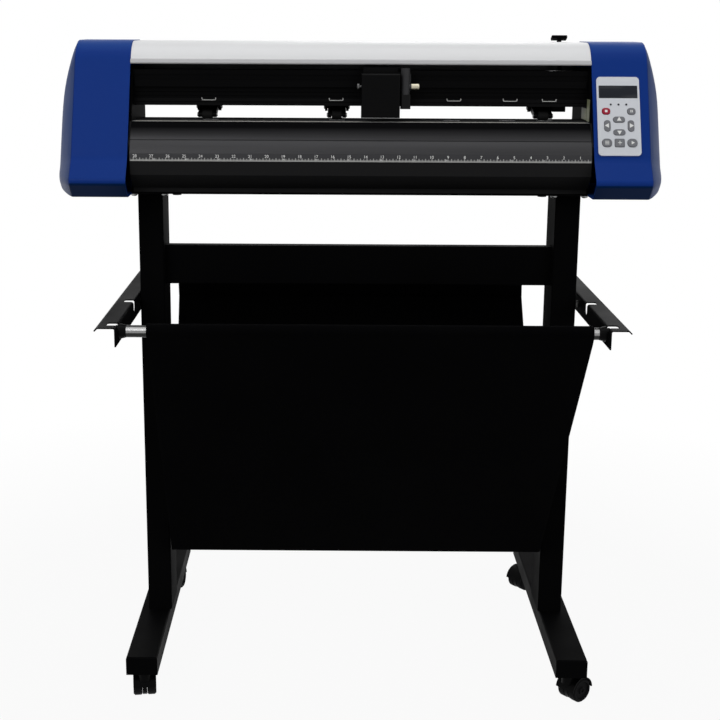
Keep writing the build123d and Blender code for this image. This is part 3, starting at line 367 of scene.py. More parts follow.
def rodPaint(s):
    # polished tube: drawn streaks and painted reflections, soft bands along its length like those a
    # tube reflects
    paint = Paint("rod steel", (0.36, 0.36, 0.37), 0.3, 0.6)
    low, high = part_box("basket_rods")
    middle, radius = (low[2] + high[2]) / 2, (high[2] - low[2]) / 2
    height = (paint.axes()[2] - middle) * (1 / radius)
    # painted reflection: tones by height round the tube
    stops = [(level, (tone, tone, tone, 1.0)) for level, tone in s["reflectionBands"]]
    band = paint.node("ValToRGB", {"stops": stops}, {"Fac": height * 0.5 + 0.5})
    streak = paint.streaks((30.0, 900.0, 900.0))
    paint.set({"Base Color": band, "Roughness": paint.fade(streak, 0.3, 0.7, 0.24, 0.4)})
    paint.relief(streak, 0.12, 0.00004)
    return paint


beamTones = {"face": ((0.0018, 0.0018, 0.002), (0.0034, 0.0034, 0.0036)),
             "rib": (0.0055, 0.0055, 0.0058), "ribTall": 0.011}


def beamPaint(s):
    # black crossbeam: faint drawn lines along it, its lowest rib a little paler
    paint = Paint("beam black", (0.0025, 0.0025, 0.0027), 0.42, gloss=0.015)
    streak = paint.streaks((4.0, 700.0, 700.0), 3.0)
    rib = paint.axes()[2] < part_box("beam")[0][2] + s["ribTall"]
    paint.set({"Base Color": paint.between(rib, paint.between(streak, *s["face"]), s["rib"]),
               "Roughness": paint.fade(streak, 0.3, 0.7, 0.36, 0.5)})
    paint.relief(streak, 0.12, 0.00004)
    return paint


toolTones = {"sleeve": ((0.022, 0.022, 0.024), (0.045, 0.045, 0.047)),
             "block": (0.0022, 0.0022, 0.0024), "splitOverBed": 0.042}


def toolPaint(s):
    # dark grey sleeve over a black lower block
    paint = Paint("tool grey", (0.03, 0.03, 0.032), 0.38, gloss=0.1)
    sleeve = paint.axes()[2] > bedTop + s["splitOverBed"]
    streak = paint.streaks((700.0, 700.0, 60.0))
    paint.set({"Base Color": paint.between(sleeve, s["block"], paint.between(streak, *s["sleeve"])),
               "Roughness": paint.fade(streak, 0.3, 0.7, 0.32, 0.46)})
    paint.relief(streak, 0.15, 0.00005)
    return paint


gritSizes = {"middleY": -0.036, "middleZ": 0.9105, "drumFrom": 0.0088, "along": 5200.0,
             "around": 40.0}


def gritPaint(s):
    # ground shaft with diamond knurling on the drums, which are all beyond one radius
    paint = Paint("grit steel", (0.4, 0.4, 0.41), 0.34, 1.0)
    x, y, z = paint.axes()
    across, up = y - s["middleY"], z - s["middleZ"]
    drum = (across * across + up * up) > s["drumFrom"] ** 2
    turn = paint.node("Math", {"operation": "ARCTAN2"}, {0: across, 1: up})
    one = (x * s["along"] + turn * s["around"]).sine()
    two = (x * s["along"] - turn * s["around"]).sine()
    paint.set({"Roughness": drum * 0.25 + 0.32})
    paint.relief(one * two * drum, 0.7, 0.0003)
    return paint


# ticks: pitch, how far in they reach (1 at the strip's edge, 0 at its middle), half width
tickSizes = {"ticks": ((0.01, 0.05, 0.0006), (0.005, 0.2, 0.0004), (0.001, 0.45, 0.00025)),
             "blur": 0.0001, "rim": 0.97, "foot": 0.0014, "ground": (0.04, 0.04, 0.043),
             "mark": (0.35, 0.35, 0.34)}


def rulerPaint(s):
    # dark strip with a row of ticks along its lower edge
    low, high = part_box("ruler_strip")
    paint = Paint("ruler face", (0.02, 0.02, 0.022), 0.4, gloss=0.1)
    x, y, z = paint.axes()
    middle = (low[2] + high[2]) / 2
    edge = paint.fade(abs(z - middle), 0.0, (high[2] - low[2]) / 2)
    marks = 0.0
    for pitch, reach, wide in s["ticks"]:
        near = abs((x + pitch / 2) % pitch - pitch / 2)
        near = paint.fade(near, wide, wide + s["blur"], 1.0, 0.0)
        marks = near * (edge > reach) * (z < middle) + marks
    marks = paint.fade(marks, 0.0, 1.0) * (edge < s["rim"])
    foot = z < low[2] + s["foot"]
    marks = paint.fade(marks + foot, 0.0, 1.0)
    paint.set({"Base Color": paint.between(marks, s["ground"], s["mark"])})
    paint.relief(paint.cloud(900.0), 0.2, 0.00002)
    return paint


canvasTones = {"low": (0.0006, 0.0006, 0.0008), "high": (0.0012, 0.0012, 0.0014), "threads": 7850.0}


def canvasPaint(s):
    # woven nylon: two crossed sets of threads on the sheet's own map
    paint = Paint("canvas black", (0.0009, 0.0009, 0.0011), 0.9, gloss=0.02)
    u, v = paint.split(paint.node("UVMap", {}, {}))[:2]
    warp, weft = (u * s["threads"]).sine(), (v * s["threads"]).sine()
    smear = paint.cloud(9.0, 5.0)
    paint.set({"Base Color": paint.between(paint.fade(smear, 0.3, 0.7), s["low"], s["high"])})
    paint.relief(warp * weft + smear * 0.6, 0.5, 0.0002)
    return paint


rodSteel, canvas = rodPaint(rodReflections), canvasPaint(canvasTones)
sides = ("left", "middle", "right")
corners = ("front_left", "front_right", "rear_left", "rear_right")
keys = ("pause", "up", "down", "left", "right", "menu", "zero", "enter")
nodePaints = {
    blackSteel: ["foot_left", "foot_right", "cross_panel", "base_pan", "pinch_lever"],
    uprightSteel: ["upright_left", "upright_right"],
    armSteel: ["media_arm_left", "media_arm_right"],
    rodSteel: ["basket_rods"],
    hoodBlack: ["caster_hood_" + corner for corner in corners],
    treadGrey: ["caster_wheels_" + corner for corner in corners],
    rollerRubber: ["pinch_wheel_" + side for side in sides] + ["carriage_belt"],
    blackPlastic: ["pinch_bracket_" + side for side in sides] +
                  ["pinch_arm_" + side for side in sides] +
                  ["rod_end_plugs", "carriage", "carriage_cover", "carriage_drive_pulley",
                   "carriage_idler_pulley", "power_inlet", "power_rocker", "drive_motors"],
    capGrey: ["side_caps"],
    knobBrass: ["clamp_knob"],
    panelPale: ["control_panel"],
    keyRed: ["stop_key"],
    keyGrey: [key + "_key" for key in keys],
    bluePaint(blueTonesAndPaintedLight): ["end_cover_left", "end_cover_right"],
    whitePaint(coverTonesAndShade): ["top_cover"],
    bedMetal(bedTonesAndShade): ["front_apron", "rear_apron"],
    platenPaint(platenTones): ["platen"],
    platePaint(plateTones): ["side_plates"],
    beamPaint(beamTones): ["beam"],
    toolPaint(toolTones): ["tool_holder"],
    gritPaint(gritSizes): ["grit_shaft"],
    rulerPaint(tickSizes): ["ruler_strip"],
    canvas: ["catch_basket"],
}
for paint, names in nodePaints.items():
    for name in names:
        mesh = nodes[name].data
        mesh.materials.clear()
        mesh.materials.append(paint.mat)
print("materials on the frame's nodes")


# every new piece rides on a body and takes its finish from one of the slots
def newPiece(name, bm, paint, body):
    mesh = bpy.data.meshes.new(name)
    bm.to_mesh(mesh)
    bm.free()
    mesh.materials.append(paint.mat)
    piece = bpy.data.objects.new(name, mesh)
    scene.collection.objects.link(piece)
    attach(piece, body)
    return piece


def smooth(piece, angle=35.0):
    for polygon in piece.data.polygons:
        polygon.use_smooth = True
    piece.data.set_sharp_from_angle(angle=radians(angle))
    return piece


fixed = "machine_and_stand"

# catch basket: one sheet with a sleeve round each rod and a fold at its foot
clothSizes = {"rodY": (-0.275, 0.173), "rodZ": 0.6273, "wrap": 0.0105, "hem": 0.03,
              "hemGap": 0.0014, "fold": (-0.057, 0.2), "foldRadius": 0.009,
              "frontX": (-0.3155, 0.342), "foldX": (-0.311, 0.311), "rearX": (-0.3155, 0.295),
              "evenFor": 0.012, "across": 150, "thick": 0.0012, "inset": 0.0015}
# its slack: how far below the rods it starts and over what drop, depth of the folds, the fine
# folds and the bow, and the shares of it that go in or out and up
slackSizes = {"from": 0.02, "over": 0.4, "ripple": 0.0035, "fine": 0.0011, "bow": 0.004,
              "in": 0.9, "up": 0.4}


def arcPoints(centre, radius, first, last, count):
    turns = (first + (last - first) * k / count for k in range(count + 1))
    return [(centre[0] + radius * cos(a), centre[1] + radius * sin(a)) for a in turns]


def linePoints(first, last, count):
    return [tuple(first[i] + (last[i] - first[i]) * k / count for i in (0, 1))
            for k in range(1, count)]


def panelPath(s, rodY):
    # side view of one panel: hem, round the rod, straight down, round half of the fold
    # y counts from the fold, and the rod is on its negative side
    rod, foldMiddle = (rodY, s["rodZ"]), (0.0, s["fold"][1] + s["foldRadius"])
    run, fall = foldMiddle[0] - rod[0], rod[1] - foldMiddle[1]
    lean = atan2(run, fall) + (s["wrap"] - s["foldRadius"]) / hypot(run, fall)
    leave = pi + lean
    out, down = (cos(leave), sin(leave)), (sin(lean), -cos(lean))
    hem = [rod[i] + out[i] * (s["wrap"] - s["hemGap"]) + down[i] * s["hem"] for i in (0, 1)]
    far = hypot(hem[0] - rod[0], hem[1] - rod[1])
    enter = atan2(hem[1] - rod[1], hem[0] - rod[0]) + acos(s["wrap"] / far)
    loop = arcPoints(rod, s["wrap"], enter, leave, 18)
    bend = arcPoints(foldMiddle, s["foldRadius"], leave, 1.5 * pi, 5)
    sleeve, fallPoints = linePoints(hem, loop[0], 3), linePoints(loop[-1], bend[0], 46)
    return [tuple(hem)] + sleeve + loop + fallPoints + bend


def clothPath(s):
    # both panels, from the hem of the front sleeve to the hem of the rear one
    foldY = s["fold"][0]
    front = [(foldY + y, z) for y, z in panelPath(s, s["rodY"][0] - foldY)]
    rear = [(foldY - y, z) for y, z in panelPath(s, foldY - s["rodY"][1])]
    return front + rear[-2::-1]


def sideLimits(s, y, z):
    # left and right edge of the sheet at a height, in front of the fold or behind it
    top, low = s["rodZ"] - s["evenFor"], s["fold"][1]
    k = min(1.0, max(0.0, (top - z) / (top - low)))
    edges = s["frontX"] if y < s["fold"][0] else s["rearX"]
    return [edges[i] + (s["foldX"][i] - edges[i]) * k for i in (0, 1)]


def slackAt(s, drop, t, x, y, z):
    # how far the sheet stands in: shallow folds that fan from the rod's ends, less an outward bow
    span = max(0.0, min(1.0, (drop - s["from"]) / s["over"]))
    ripple = noise.noise(Vector((x * 9.0 + z * 2.2, z * 3.1, y * 2.0)))
    fine = noise.noise(Vector((x * 26.0 - z * 6.0, z * 7.0, 3.7)))
    folds = sin(pi * min(1.0, span * 1.2)) * (s["ripple"] * ripple + s["fine"] * fine)
    return folds - s["bow"] * (sin(pi * span) * sin(pi * t))


def makeCloth(s):
    path = clothPath(s)
    rows, columns = len(path), s["across"]
    bm = bmesh.new()
    uvs = bm.loops.layers.uv.new("cloth")
    bmesh.ops.create_grid(bm, x_segments=columns, y_segments=rows - 1, size=0.5, calc_uvs=False)
    runs = [0.0]
    for one, two in zip(path, path[1:]):
        runs.append(runs[-1] + hypot(two[0] - one[0], two[1] - one[1]))
    for vert in bm.verts:
        row = round((vert.co.y + 0.5) * (rows - 1))
        t = vert.co.x + 0.5
        y, z = path[row]
        left, right = sideLimits(s, y, z)
        x = left + (right - left) * t
        push = slackAt(slackSizes, s["rodZ"] - z, t, x, y, z)
        inwards = 1 if y < s["fold"][0] else -1  # towards the fold, from either panel
        y += inwards * (push * slackSizes["in"] + s["inset"])
        vert.co = Vector((x, y, z + push * slackSizes["up"]))
        vert.index = row
    bm.verts.ensure_lookup_table()
    for face in bm.faces:
        for loop in face.loops:
            loop[uvs].uv = (loop.vert.co.x, runs[loop.vert.index])
    bmesh.ops.recalc_face_normals(bm, faces=bm.faces)
    cloth = newPiece("catchCloth", bm, canvas, fixed)
    wall = cloth.modifiers.new("thickness", "SOLIDIFY")
    wall.thickness, wall.offset = s["thick"], 0.0
    smooth(cloth, 60.0)
    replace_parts(cloth, "catch_basket")


makeCloth(clothSizes)
print("cloth of the catch basket")


def joined(name, parts, paint, body):
    # several bmeshes become one piece
    whole = bmesh.new()
    for part in parts:
        mesh = bpy.data.meshes.new("part")
        part.to_mesh(mesh)
        part.free()
        whole.from_mesh(mesh)
        bpy.data.meshes.remove(mesh)
    return smooth(newPiece(name, whole, paint, body))


def turned(profile, centre, axis, steps):
    # profile: (distance along the axis, radius) pairs, turned about the axis
    bm = bmesh.new()
    verts = [bm.verts.new((r, 0.0, h)) for h, r in profile]
    edges = [bm.edges.new(pair) for pair in zip(verts, verts[1:])]
    bmesh.ops.spin(bm, geom=verts + edges, cent=(0, 0, 0), axis=(0, 0, 1), angle=2 * pi,
                   steps=steps, use_merge=True)
    bmesh.ops.remove_doubles(bm, verts=bm.verts, dist=1e-7)
    turn = Vector(axis).to_track_quat("Z", "Y").to_matrix().to_4x4()
    bmesh.ops.transform(bm, matrix=Matrix.Translation(centre) @ turn, verts=bm.verts)
    bmesh.ops.recalc_face_normals(bm, faces=bm.faces)
    return bm


def block(size, centre, turn=None, bevel=0.0):
    bm = bmesh.new()
    bmesh.ops.create_cube(bm, size=1.0)
    bmesh.ops.scale(bm, vec=size, verts=bm.verts)
    if bevel:
        bmesh.ops.bevel(bm, geom=bm.edges[:], offset=bevel, offset_type="OFFSET", segments=2,
                        profile=0.5, affect="EDGES", material=-1)
    place = Matrix.Translation(centre)
    if turn is not None:
        place = place @ turn
    bmesh.ops.transform(bm, matrix=place, verts=bm.verts)
    bmesh.ops.recalc_face_normals(bm, faces=bm.faces)
    return bm


def boltHead(centre, axis, radius, height):
    # button head with a hexagon socket
    bm = turned(((0.0, radius), (height * 0.35, radius), (height * 0.8, radius * 0.82),
                 (height, radius * 0.55), (height, radius * 0.5)), (0, 0, 0), (0, 0, 1), 18)
    socket = bmesh.ops.create_circle(bm, segments=6, radius=radius * 0.5)["verts"]
    bmesh.ops.translate(bm, verts=socket, vec=(0, 0, height * 0.98))
    rim = [e for e in bm.edges if all(v in socket for v in e.verts)]
    sunk = bmesh.ops.extrude_edge_only(bm, edges=rim)["geom"]
    low = [v for v in sunk if isinstance(v, bmesh.types.BMVert)]
    bmesh.ops.translate(bm, verts=low, vec=(0, 0, -height * 0.5))
    bmesh.ops.holes_fill(bm, edges=[e for e in sunk if isinstance(e, bmesh.types.BMEdge) and
                                    all(v in low for v in e.verts)], sides=0)
    turn = Vector(axis).to_track_quat("Z", "Y").to_matrix().to_4x4()
    bmesh.ops.transform(bm, matrix=Matrix.Translation(centre) @ turn, verts=bm.verts)
    return bm


# media arms: folded from one flat sheet with L-shaped slots
armSizes = {"inner": 0.3584, "rightShift": 0.0045, "drop": 0.028, "flange": 0.0247, "lip": 0.0092,
            "bend": 0.003, "sheet": 0.002, "corner": 0.004, "slots": (0.027, 0.203, 0.475),
            "slotWide": 0.02, "slotRun": 0.0175, "slotDrop": 0.0193, "slotCorner": 0.0025,
            "boltRadius": 0.003}


def flatLoop(bm, points):
    # closed outline in the sheet before it is folded
    verts = [bm.verts.new((u, y, 0.0)) for u, y in points]
    return [bm.edges.new(pair) for pair in zip(verts, verts[1:] + verts[:1])]


def sheetRuns(s):
    # distances across the flat sheet: where the web, the first bend and the flange end
    straight = s["drop"] - s["bend"]
    first = straight + s["bend"] * pi / 2
    return straight, first, first + s["flange"] - s["bend"]


def foldedPlace(s, u):
    # distance out from the web and height above its foot, for a distance across the flat sheet
    straight, first, second = sheetRuns(s)
    if u < straight:
        return 0.0, u
    if u < first:
        turn = (u - straight) / s["bend"]
        return s["bend"] * (1 - cos(turn)), straight + s["bend"] * sin(turn)
    if u < second:
        return s["bend"] + u - first, s["drop"]
    turn = min(pi / 4, (u - second) / s["bend"])
    run = max(0.0, u - second - s["bend"] * pi / 4) * cos(pi / 4)
    return s["flange"] + s["bend"] * sin(turn) + run, s["drop"] - s["bend"] * (1 - cos(turn)) - run


def makeArm(s, side, node):
    low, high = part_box(node)
    front, length, top = low[1], high[1] - low[1], high[2]
    bm = bmesh.new()
    straight, first, second = sheetRuns(s)
    wide, cut = second + s["bend"] * pi / 4 + s["lip"] - s["bend"], s["corner"]
    edges = flatLoop(bm, ((0.0, 0.0), (wide - cut, 0.0), (wide, cut), (wide, length - cut),
                          (wide - cut, length), (0.0, length)))
    radius, corner = s["slotWide"] / 2, s["slotCorner"]
    foot, end = s["drop"] - s["slotDrop"] + radius, straight + s["slotRun"]
    for middle in s["slots"]:
        turns = [pi * k / 10 for k in range(11)]
        points = [(foot - radius * sin(a), middle - radius * cos(a)) for a in turns]
        points += [(end - corner, middle + radius), (end, middle + radius - corner),
                   (end, middle - radius + corner), (end - corner, middle - radius)]
        edges += flatLoop(bm, points)
    for y in boltSizes["armY"]:
        edges += flatLoop(bm, [(s["drop"] / 2 + s["boltRadius"] * cos(pi * k / 6),
                                y - front + s["boltRadius"] * sin(pi * k / 6)) for k in range(12)])
    bmesh.ops.triangle_fill(bm, edges=edges, use_beauty=True)
    bends = [straight + s["bend"] * pi / 2 * k / 8 for k in range(9)]
    bends += [second + s["bend"] * pi / 4 * k / 4 for k in range(5)]
    for u in bends:
        bmesh.ops.bisect_plane(bm, geom=bm.verts[:] + bm.edges[:] + bm.faces[:], dist=1e-6,
                               plane_co=(u, 0, 0), plane_no=(1, 0, 0))
    for vert in bm.verts:
        out, up = foldedPlace(s, vert.co.x)
        x = s["inner"] + out + (s["rightShift"] if side > 0 else 0.0)
        vert.co = Vector((side * x, front + vert.co.y, top - s["drop"] + up))
    bmesh.ops.recalc_face_normals(bm, faces=bm.faces)
    name = "mediaArmLeft" if side < 0 else "mediaArmRight"
    arm = newPiece(name, bm, armSteel, fixed)
    wall = arm.modifiers.new("sheet", "SOLIDIFY")
    wall.thickness, wall.offset = s["sheet"], 0.0
    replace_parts(arm, node)


# button heads: two on each arm, four under each end of the machine
boltSizes = {"armX": 0.3594, "armY": (-0.029, 0.026), "armZ": 0.623, "radius": 0.0055,
             "height": 0.0035, "plateX": (0.311, 0.36), "plateY": (-0.0505, 0.0475),
             "plateZ": 0.803}


def standBolts(s):
    bolts, head = [], (s["radius"], s["height"])
    for side in (-1, 1):
        for y in s["armY"]:
            bolts.append(boltHead((side * s["armX"], y, s["armZ"]), (side, 0, 0), *head))
        for x in s["plateX"]:
            for y in s["plateY"]:
                bolts.append(boltHead((side * x, y, s["plateZ"]), (0, 0, -1), *head))
    joined("standBolts", bolts, boltSteel, fixed)


standBolts(boltSizes)

# rods of the catch basket with their end plugs; the right ends stand a little further out
rodSizes = {"inner": 0.345, "radius": 0.009, "wall": 0.0012, "collar": 0.011, "collarLong": 0.0102,
            "collarFlat": 0.0025, "end": 0.0172, "tipLong": 0.0015, "tipIn": 0.0018}


def makeRods(s):
    low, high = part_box("basket_rods")
    z, shift = (low[2] + high[2]) / 2, armSizes["rightShift"]
    rods, plugs = [], []
    r, inside = s["radius"], s["radius"] - s["wall"]
    long, collar, end = 2 * s["inner"] + shift, s["collarLong"], s["end"]
    tube = ((0.0, inside), (0.0, r), (long, r), (long, inside), (0.0, inside))
    plug = ((0.0, 0.0), (0.0, r), (collar - s["collarFlat"], s["collar"]), (collar, s["collar"]),
            (collar, r), (end - s["tipLong"], r), (end, r - s["tipIn"]), (end, 0.0))
    for y in (low[1] + r, high[1] - r):
        rods.append(turned(tube, (-s["inner"], y, z), (1, 0, 0), 48))
        for side in (-1, 1):
            start = s["inner"] + (shift if side > 0 else 0.0)
            plugs.append(turned(plug, (side * start, y, z), (side, 0, 0), 32))
    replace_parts(joined("basketRods", rods, rodSteel, fixed), "basket_rods")
    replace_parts(joined("rodEndPlugs", plugs, blackPlastic, fixed), "rod_end_plugs")


makeRods(rodSizes)
makeArm(armSizes, -1, "media_arm_left")
makeArm(armSizes, 1, "media_arm_right")

# marks on the beam for the rollers: a line with a slanted stroke at either end
markSizes = {"places": (-0.238, -0.0379, 0.147, 0.2352, 0.2965), "face": -0.054, "z": 0.9532,
             "half": 0.0106, "height": 0.0036, "stroke": 0.001, "endStroke": 0.0013, "lean": 0.2,
             "thick": 0.0003}


def rollerMarks(s):
    parts = []
    y, low = s["face"] - s["thick"] / 2, s["z"] - s["height"] / 2
    line = (2 * s["half"], s["thick"], s["stroke"])
    stroke = (s["endStroke"], s["thick"], s["height"])
    for x in s["places"]:
        parts.append(block(line, (x, y, low)))
        for side in (-1, 1):
            lean = Matrix.Rotation(side * s["lean"], 4, "Y")
            parts.append(block(stroke, (x + side * s["half"], y, s["z"]), lean))
    joined("rollerMarks", parts, dullWhite, fixed)


rollerMarks(markSizes)

# strip in the bed under the path of the knife
stripSizes = {"length": 0.7036, "y": -0.074, "width": 0.0078, "top": 0.9199, "thick": 0.0008}
joined("cuttingStrip", [block((stripSizes["length"], stripSizes["width"], stripSizes["thick"]),
                              (0, stripSizes["y"], stripSizes["top"] - stripSizes["thick"] / 2))],
       stripCream, fixed)

# numbers along the ruler, counted from its right end: larger ones above, smaller ones below
rulerSizes = {"middle": (-0.12165, 0.86749), "up": (0.204, 0.979), "right": 0.338,
              "upper": {"count": 28, "by": 1, "from": 0.0, "pitch": 0.0254, "rise": 0.0019,
                        "tall": 0.0064},
              "lower": {"count": 13, "by": 5, "from": 0.056, "pitch": 0.05, "rise": -0.0026,
                        "tall": 0.0036}}


def flatWord(word, tall, place, turn):
    curve = bpy.data.curves.new("word", "FONT")
    curve.body, curve.size, curve.align_x, curve.align_y = word, tall, "CENTER", "CENTER"
    holder = bpy.data.objects.new("word", curve)
    mesh = bpy.data.meshes.new_from_object(holder)
    bpy.data.objects.remove(holder)
    bm = bmesh.new()
    bm.from_mesh(mesh)
    bpy.data.meshes.remove(mesh)
    bmesh.ops.transform(bm, matrix=Matrix.Translation(place) @ turn, verts=bm.verts)
    return bm


def rulerNumbers(s):
    upY, upZ = s["up"]
    turn = Matrix(((1, 0, 0), (0, upY, -upZ), (0, upZ, upY))).to_4x4()
    midY, midZ = s["middle"]
    words = []
    for row in (s["upper"], s["lower"]):
        y, z = midY + row["rise"] * upY, midZ + row["rise"] * upZ
        for k in range(row["count"]):
            x = s["right"] - row["from"] - k * row["pitch"]
            words.append(flatWord(str(row["by"] * (k + 1)), row["tall"], (x, y, z), turn))
    joined("rulerNumbers", words, printWhite, fixed)


rulerNumbers(rulerSizes)

# control panel: display glass, lights and the signs on the keys
panelSizes = {"middle": (0.3982, -0.095, 0.931), "slope": atan2(62.0, 136.0), "thick": 0.0025,
              "glass": (0.0596, 0.0204, 0.0006), "glassRise": 0.0394, "glassEdge": 0.0002,
              "light": ((0.0, 0.0016), (0.0006, 0.0016), (0.0011, 0.001), (0.0012, 0.0)),
              "lightRise": 0.0187, "lightGap": 0.012, "lightSunk": 0.0001}
# signs: radius of an arrow, width and height of a bar, distance from a key's middle
signSizes = {"keyTop": 0.0039, "thick": 0.00025, "arrow": 0.0042, "enter": 0.0032,
             "stop": (0.0038, 0.0038), "pause": (0.0012, 0.004), "pauseApart": 0.0011,
             "line": (0.0062, 0.0009), "upright": (0.0009, 0.0062), "lineApart": 0.0022}


def onPanel(s):
    c, n = cos(s["slope"]), sin(s["slope"])
    return Matrix.Translation(s["middle"]) @ Matrix(((1, 0, 0), (0, n, -c), (0, c, n))).to_4x4()


panelPlace = onPanel(panelSizes)


def panelPiece(name, parts, paint, body):
    for bm in parts:
        bmesh.ops.transform(bm, matrix=panelPlace, verts=bm.verts)
    joined(name, parts, paint, body)


def panelParts(s):
    glass = block(s["glass"], (0, s["glassRise"], s["thick"]), bevel=s["glassEdge"])
    panelPiece("displayGlass", [glass], liquidDark, fixed)
    foot = s["thick"] - s["lightSunk"]
    lights = [turned(s["light"], (k * s["lightGap"], s["lightRise"], foot), (0, 0, 1), 16)
              for k in (-1, 0, 1)]
    panelPiece("panelLights", lights, liquidDark, fixed)


def arrowSign(s, radius, turn=0.0):
    bm = bmesh.new()
    bmesh.ops.create_circle(bm, cap_ends=True, segments=3, radius=radius)
    made = bmesh.ops.extrude_face_region(bm, geom=bm.faces[:])["geom"]
    raised = [v for v in made if isinstance(v, bmesh.types.BMVert)]
    bmesh.ops.translate(bm, verts=raised, vec=(0, 0, s["thick"]))
    place = Matrix.Translation((0, 0, s["keyTop"])) @ Matrix.Rotation(turn, 4, "Z")
    bmesh.ops.transform(bm, matrix=place, verts=bm.verts)
    bmesh.ops.recalc_face_normals(bm, faces=bm.faces)
    return bm


def barSign(s, size, right=0.0, up=0.0):
    return block((*size, s["thick"]), (right, up, s["keyTop"] + s["thick"] / 2))


def keySigns(s):
    signs = {
        "up_key": [arrowSign(s, s["arrow"])],
        "down_key": [arrowSign(s, s["arrow"], pi)],
        "left_key": [arrowSign(s, s["arrow"], pi / 2)],
        "right_key": [arrowSign(s, s["arrow"], -pi / 2)],
        "pause_key": [barSign(s, s["pause"], right=k * s["pauseApart"]) for k in (-1, 1)],
        "stop_key": [barSign(s, s["stop"])],
        "menu_key": [barSign(s, s["line"], up=k * s["lineApart"]) for k in (-1, 0, 1)],
        "zero_key": [barSign(s, s["line"]), barSign(s, s["upright"])],
        "enter_key": [arrowSign(s, s["enter"], -pi / 2)],
    }
    for key, parts in signs.items():
        low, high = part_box(key)
        spot = panelPlace.inverted() @ ((Vector(low) + Vector(high)) / 2)
        for bm in parts:
            bmesh.ops.translate(bm, verts=bm.verts, vec=(spot.x, spot.y, 0.0))
        panelPiece(key.replace("_key", "Sign"), parts, printWhite, key)


panelParts(panelSizes)
keySigns(signSizes)

# metal ends of the pinch axles and small screws of the pinch units, out from each wheel's middle
axleSizes = {"out": 0.0145, "y": -0.036, "z": 0.9278,
             "end": ((0.0, 0.0032), (0.0012, 0.0032), (0.0016, 0.0024), (0.0016, 0.0))}
pivotSizes = {"out": 0.019, "y": 0.004, "z": 0.938, "radius": 0.0035, "height": 0.002}


def pinchEnds(axle, pivot, name):
    low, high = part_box("pinch_wheel_" + name)
    x = (low[0] + high[0]) / 2
    ends = [turned(axle["end"], (x + side * axle["out"], axle["y"], axle["z"]), (side, 0, 0), 16)
            for side in (-1, 1)]
    joined("pinchAxleEnds." + name, ends, boltSteel, "pinch_arm_" + name)
    screws = [boltHead((x + side * pivot["out"], pivot["y"], pivot["z"]), (side, 0, 0),
                       pivot["radius"], pivot["height"]) for side in (-1, 1)]
    joined("pinchPivotEnds." + name, screws, boltSteel, "pinch_bracket_" + name)


for name in sides:
    pinchEnds(axleSizes, pivotSizes, name)

# moulded rim of each caster's middle web, which closes the slot between its two wheels
rimSizes = {"radius": 0.0193, "half": 0.00365, "edge": 0.0004,
            "turns": {"front_left": 8.0, "front_right": -52.0, "rear_left": 170.0,
                      "rear_right": 128.0}}


def casterRim(s, corner):
    low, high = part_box("caster_wheels_" + corner)
    radius, half, edge = s["radius"], s["half"], s["edge"]
    outline = ((-half, 0.0), (-half, radius - edge), (edge - half, radius), (half - edge, radius),
               (half, radius - edge), (half, 0.0))
    turn = radians(s["turns"][corner])
    rim = turned(outline, [(a + b) / 2 for a, b in zip(low, high)], (cos(turn), sin(turn), 0.0), 48)
    joined("casterRim." + corner, [rim], hoodBlack, "caster_hood_" + corner)


for corner in corners:
    casterRim(rimSizes, corner)

# side tab of the right pinch bracket
tabSizes = {"size": (0.0216, 0.012, 0.0114), "place": (0.3188, -0.0055, 0.9383), "bevel": 0.0008}
joined("bracketTab", [block(tabSizes["size"], tabSizes["place"], bevel=tabSizes["bevel"])],
       blackPlastic, "pinch_bracket_right")

# stub at the left of the carriage: a thin neck, then a knob
stubSizes = {"place": (0.0011, -0.074, 0.974),
             "outline": ((0.0, 0.0), (0.0, 0.0018), (0.003, 0.0018), (0.003, 0.0042),
                         (0.0034, 0.0047), (0.0062, 0.0047), (0.0068, 0.004), (0.0068, 0.0))}
joined("carriageStub", [turned(stubSizes["outline"], stubSizes["place"], (-1, 0, 0), 20)],
       stubSteel, "carriage")

# plain patch on the inner side of the right side plate: size and place of its two parts
patchSizes = {"front": ((0.0003, 0.023, 0.034), (0.35565, -0.0685, 0.9385)),
              "rear": ((0.0003, 0.042, 0.018), (0.35565, -0.033, 0.9315))}
joined("wallPatch", [block(*patchSizes[part]) for part in ("front", "rear")], patchOlive, fixed)
print("small pieces")

# floor: its own tone, and how white it is where it is looked at, near the machine and far off
floorSizes = {"reach": 14.0, "tone": 0.25, "nearWhite": 0.94, "near": 0.75, "far": 1.6}


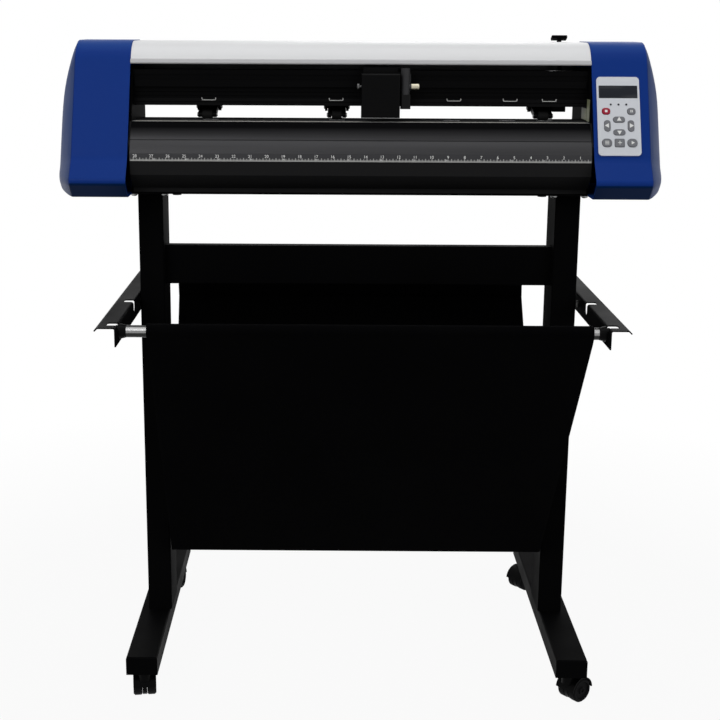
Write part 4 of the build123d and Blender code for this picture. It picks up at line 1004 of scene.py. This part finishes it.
def makeFloor(s):
    bm = bmesh.new()
    bmesh.ops.create_grid(bm, x_segments=1, y_segments=1, size=s["reach"])
    mesh = bpy.data.meshes.new("floor")
    bm.to_mesh(mesh)
    bm.free()
    paint = Paint("floor pale", (s["tone"],) * 3, 0.9)
    x, y, z = paint.axes()
    away = (x * x + y * y).root()
    white = paint.fade(away, s["near"], s["far"], s["nearWhite"], 1.0)
    glow = paint.node("Emission", {}, {"Color": (1, 1, 1, 1), "Strength": 1.0})
    plain = Wire(paint, paint.shader.outputs[0])
    mixed = paint.node("MixShader", {}, {0: paint.lookedAt() * white, 1: plain, 2: glow})
    paint.feed(paint.tree.nodes["Material Output"].inputs[0], mixed)
    mesh.materials.append(paint.mat)
    floor = bpy.data.objects.new("floor", mesh)
    scene.collection.objects.link(floor)


makeFloor(floorSizes)

# soft studio light, all of it square lamps that aim at the machine
lamps = {
    "keyLamp": {"place": (-1.6, -2.6, 2.6), "aim": (0, 0, 0.75), "size": 1.6, "watts": 36.0},
    "fillLamp": {"place": (2.2, -2.4, 1.7), "aim": (0, 0, 0.7), "size": 2.0, "watts": 20.0},
    "topLamp": {"place": (0.0, -0.4, 3.4), "aim": (0, 0, 0.8), "size": 2.2, "watts": 24.0},
    "rearLamp": {"place": (0.6, 2.8, 2.4), "aim": (0, 0, 0.8), "size": 2.0, "watts": 12.0},
}


def makeLamp(name, s):
    data = bpy.data.lights.new(name, "AREA")
    data.shape, data.size, data.energy = "SQUARE", s["size"], s["watts"]
    lamp = bpy.data.objects.new(name, data)
    lamp.location = s["place"]
    ahead = Vector(s["aim"]) - Vector(s["place"])
    lamp.rotation_euler = ahead.to_track_quat("-Z", "Y").to_euler()
    scene.collection.objects.link(lamp)


for name, lampSizes in lamps.items():
    makeLamp(name, lampSizes)

# sky: how strongly it lights things, and how white it is where it is looked at
skySizes = {"light": 0.32, "white": 1.0}


def makeSky(s):
    world = bpy.data.worlds.new("studio")
    scene.world = world
    world.use_nodes = True
    sky = Nodes(world.node_tree)
    light, white = (sky.node("Background", {}, {"Color": (1, 1, 1, 1), "Strength": s[key]})
                    for key in ("light", "white"))
    mixed = sky.node("MixShader", {}, {0: sky.lookedAt(), 1: light, 2: white})
    sky.feed(sky.tree.nodes["World Output"].inputs[0], mixed)


makeSky(skySizes)
print("camera, floor and light")
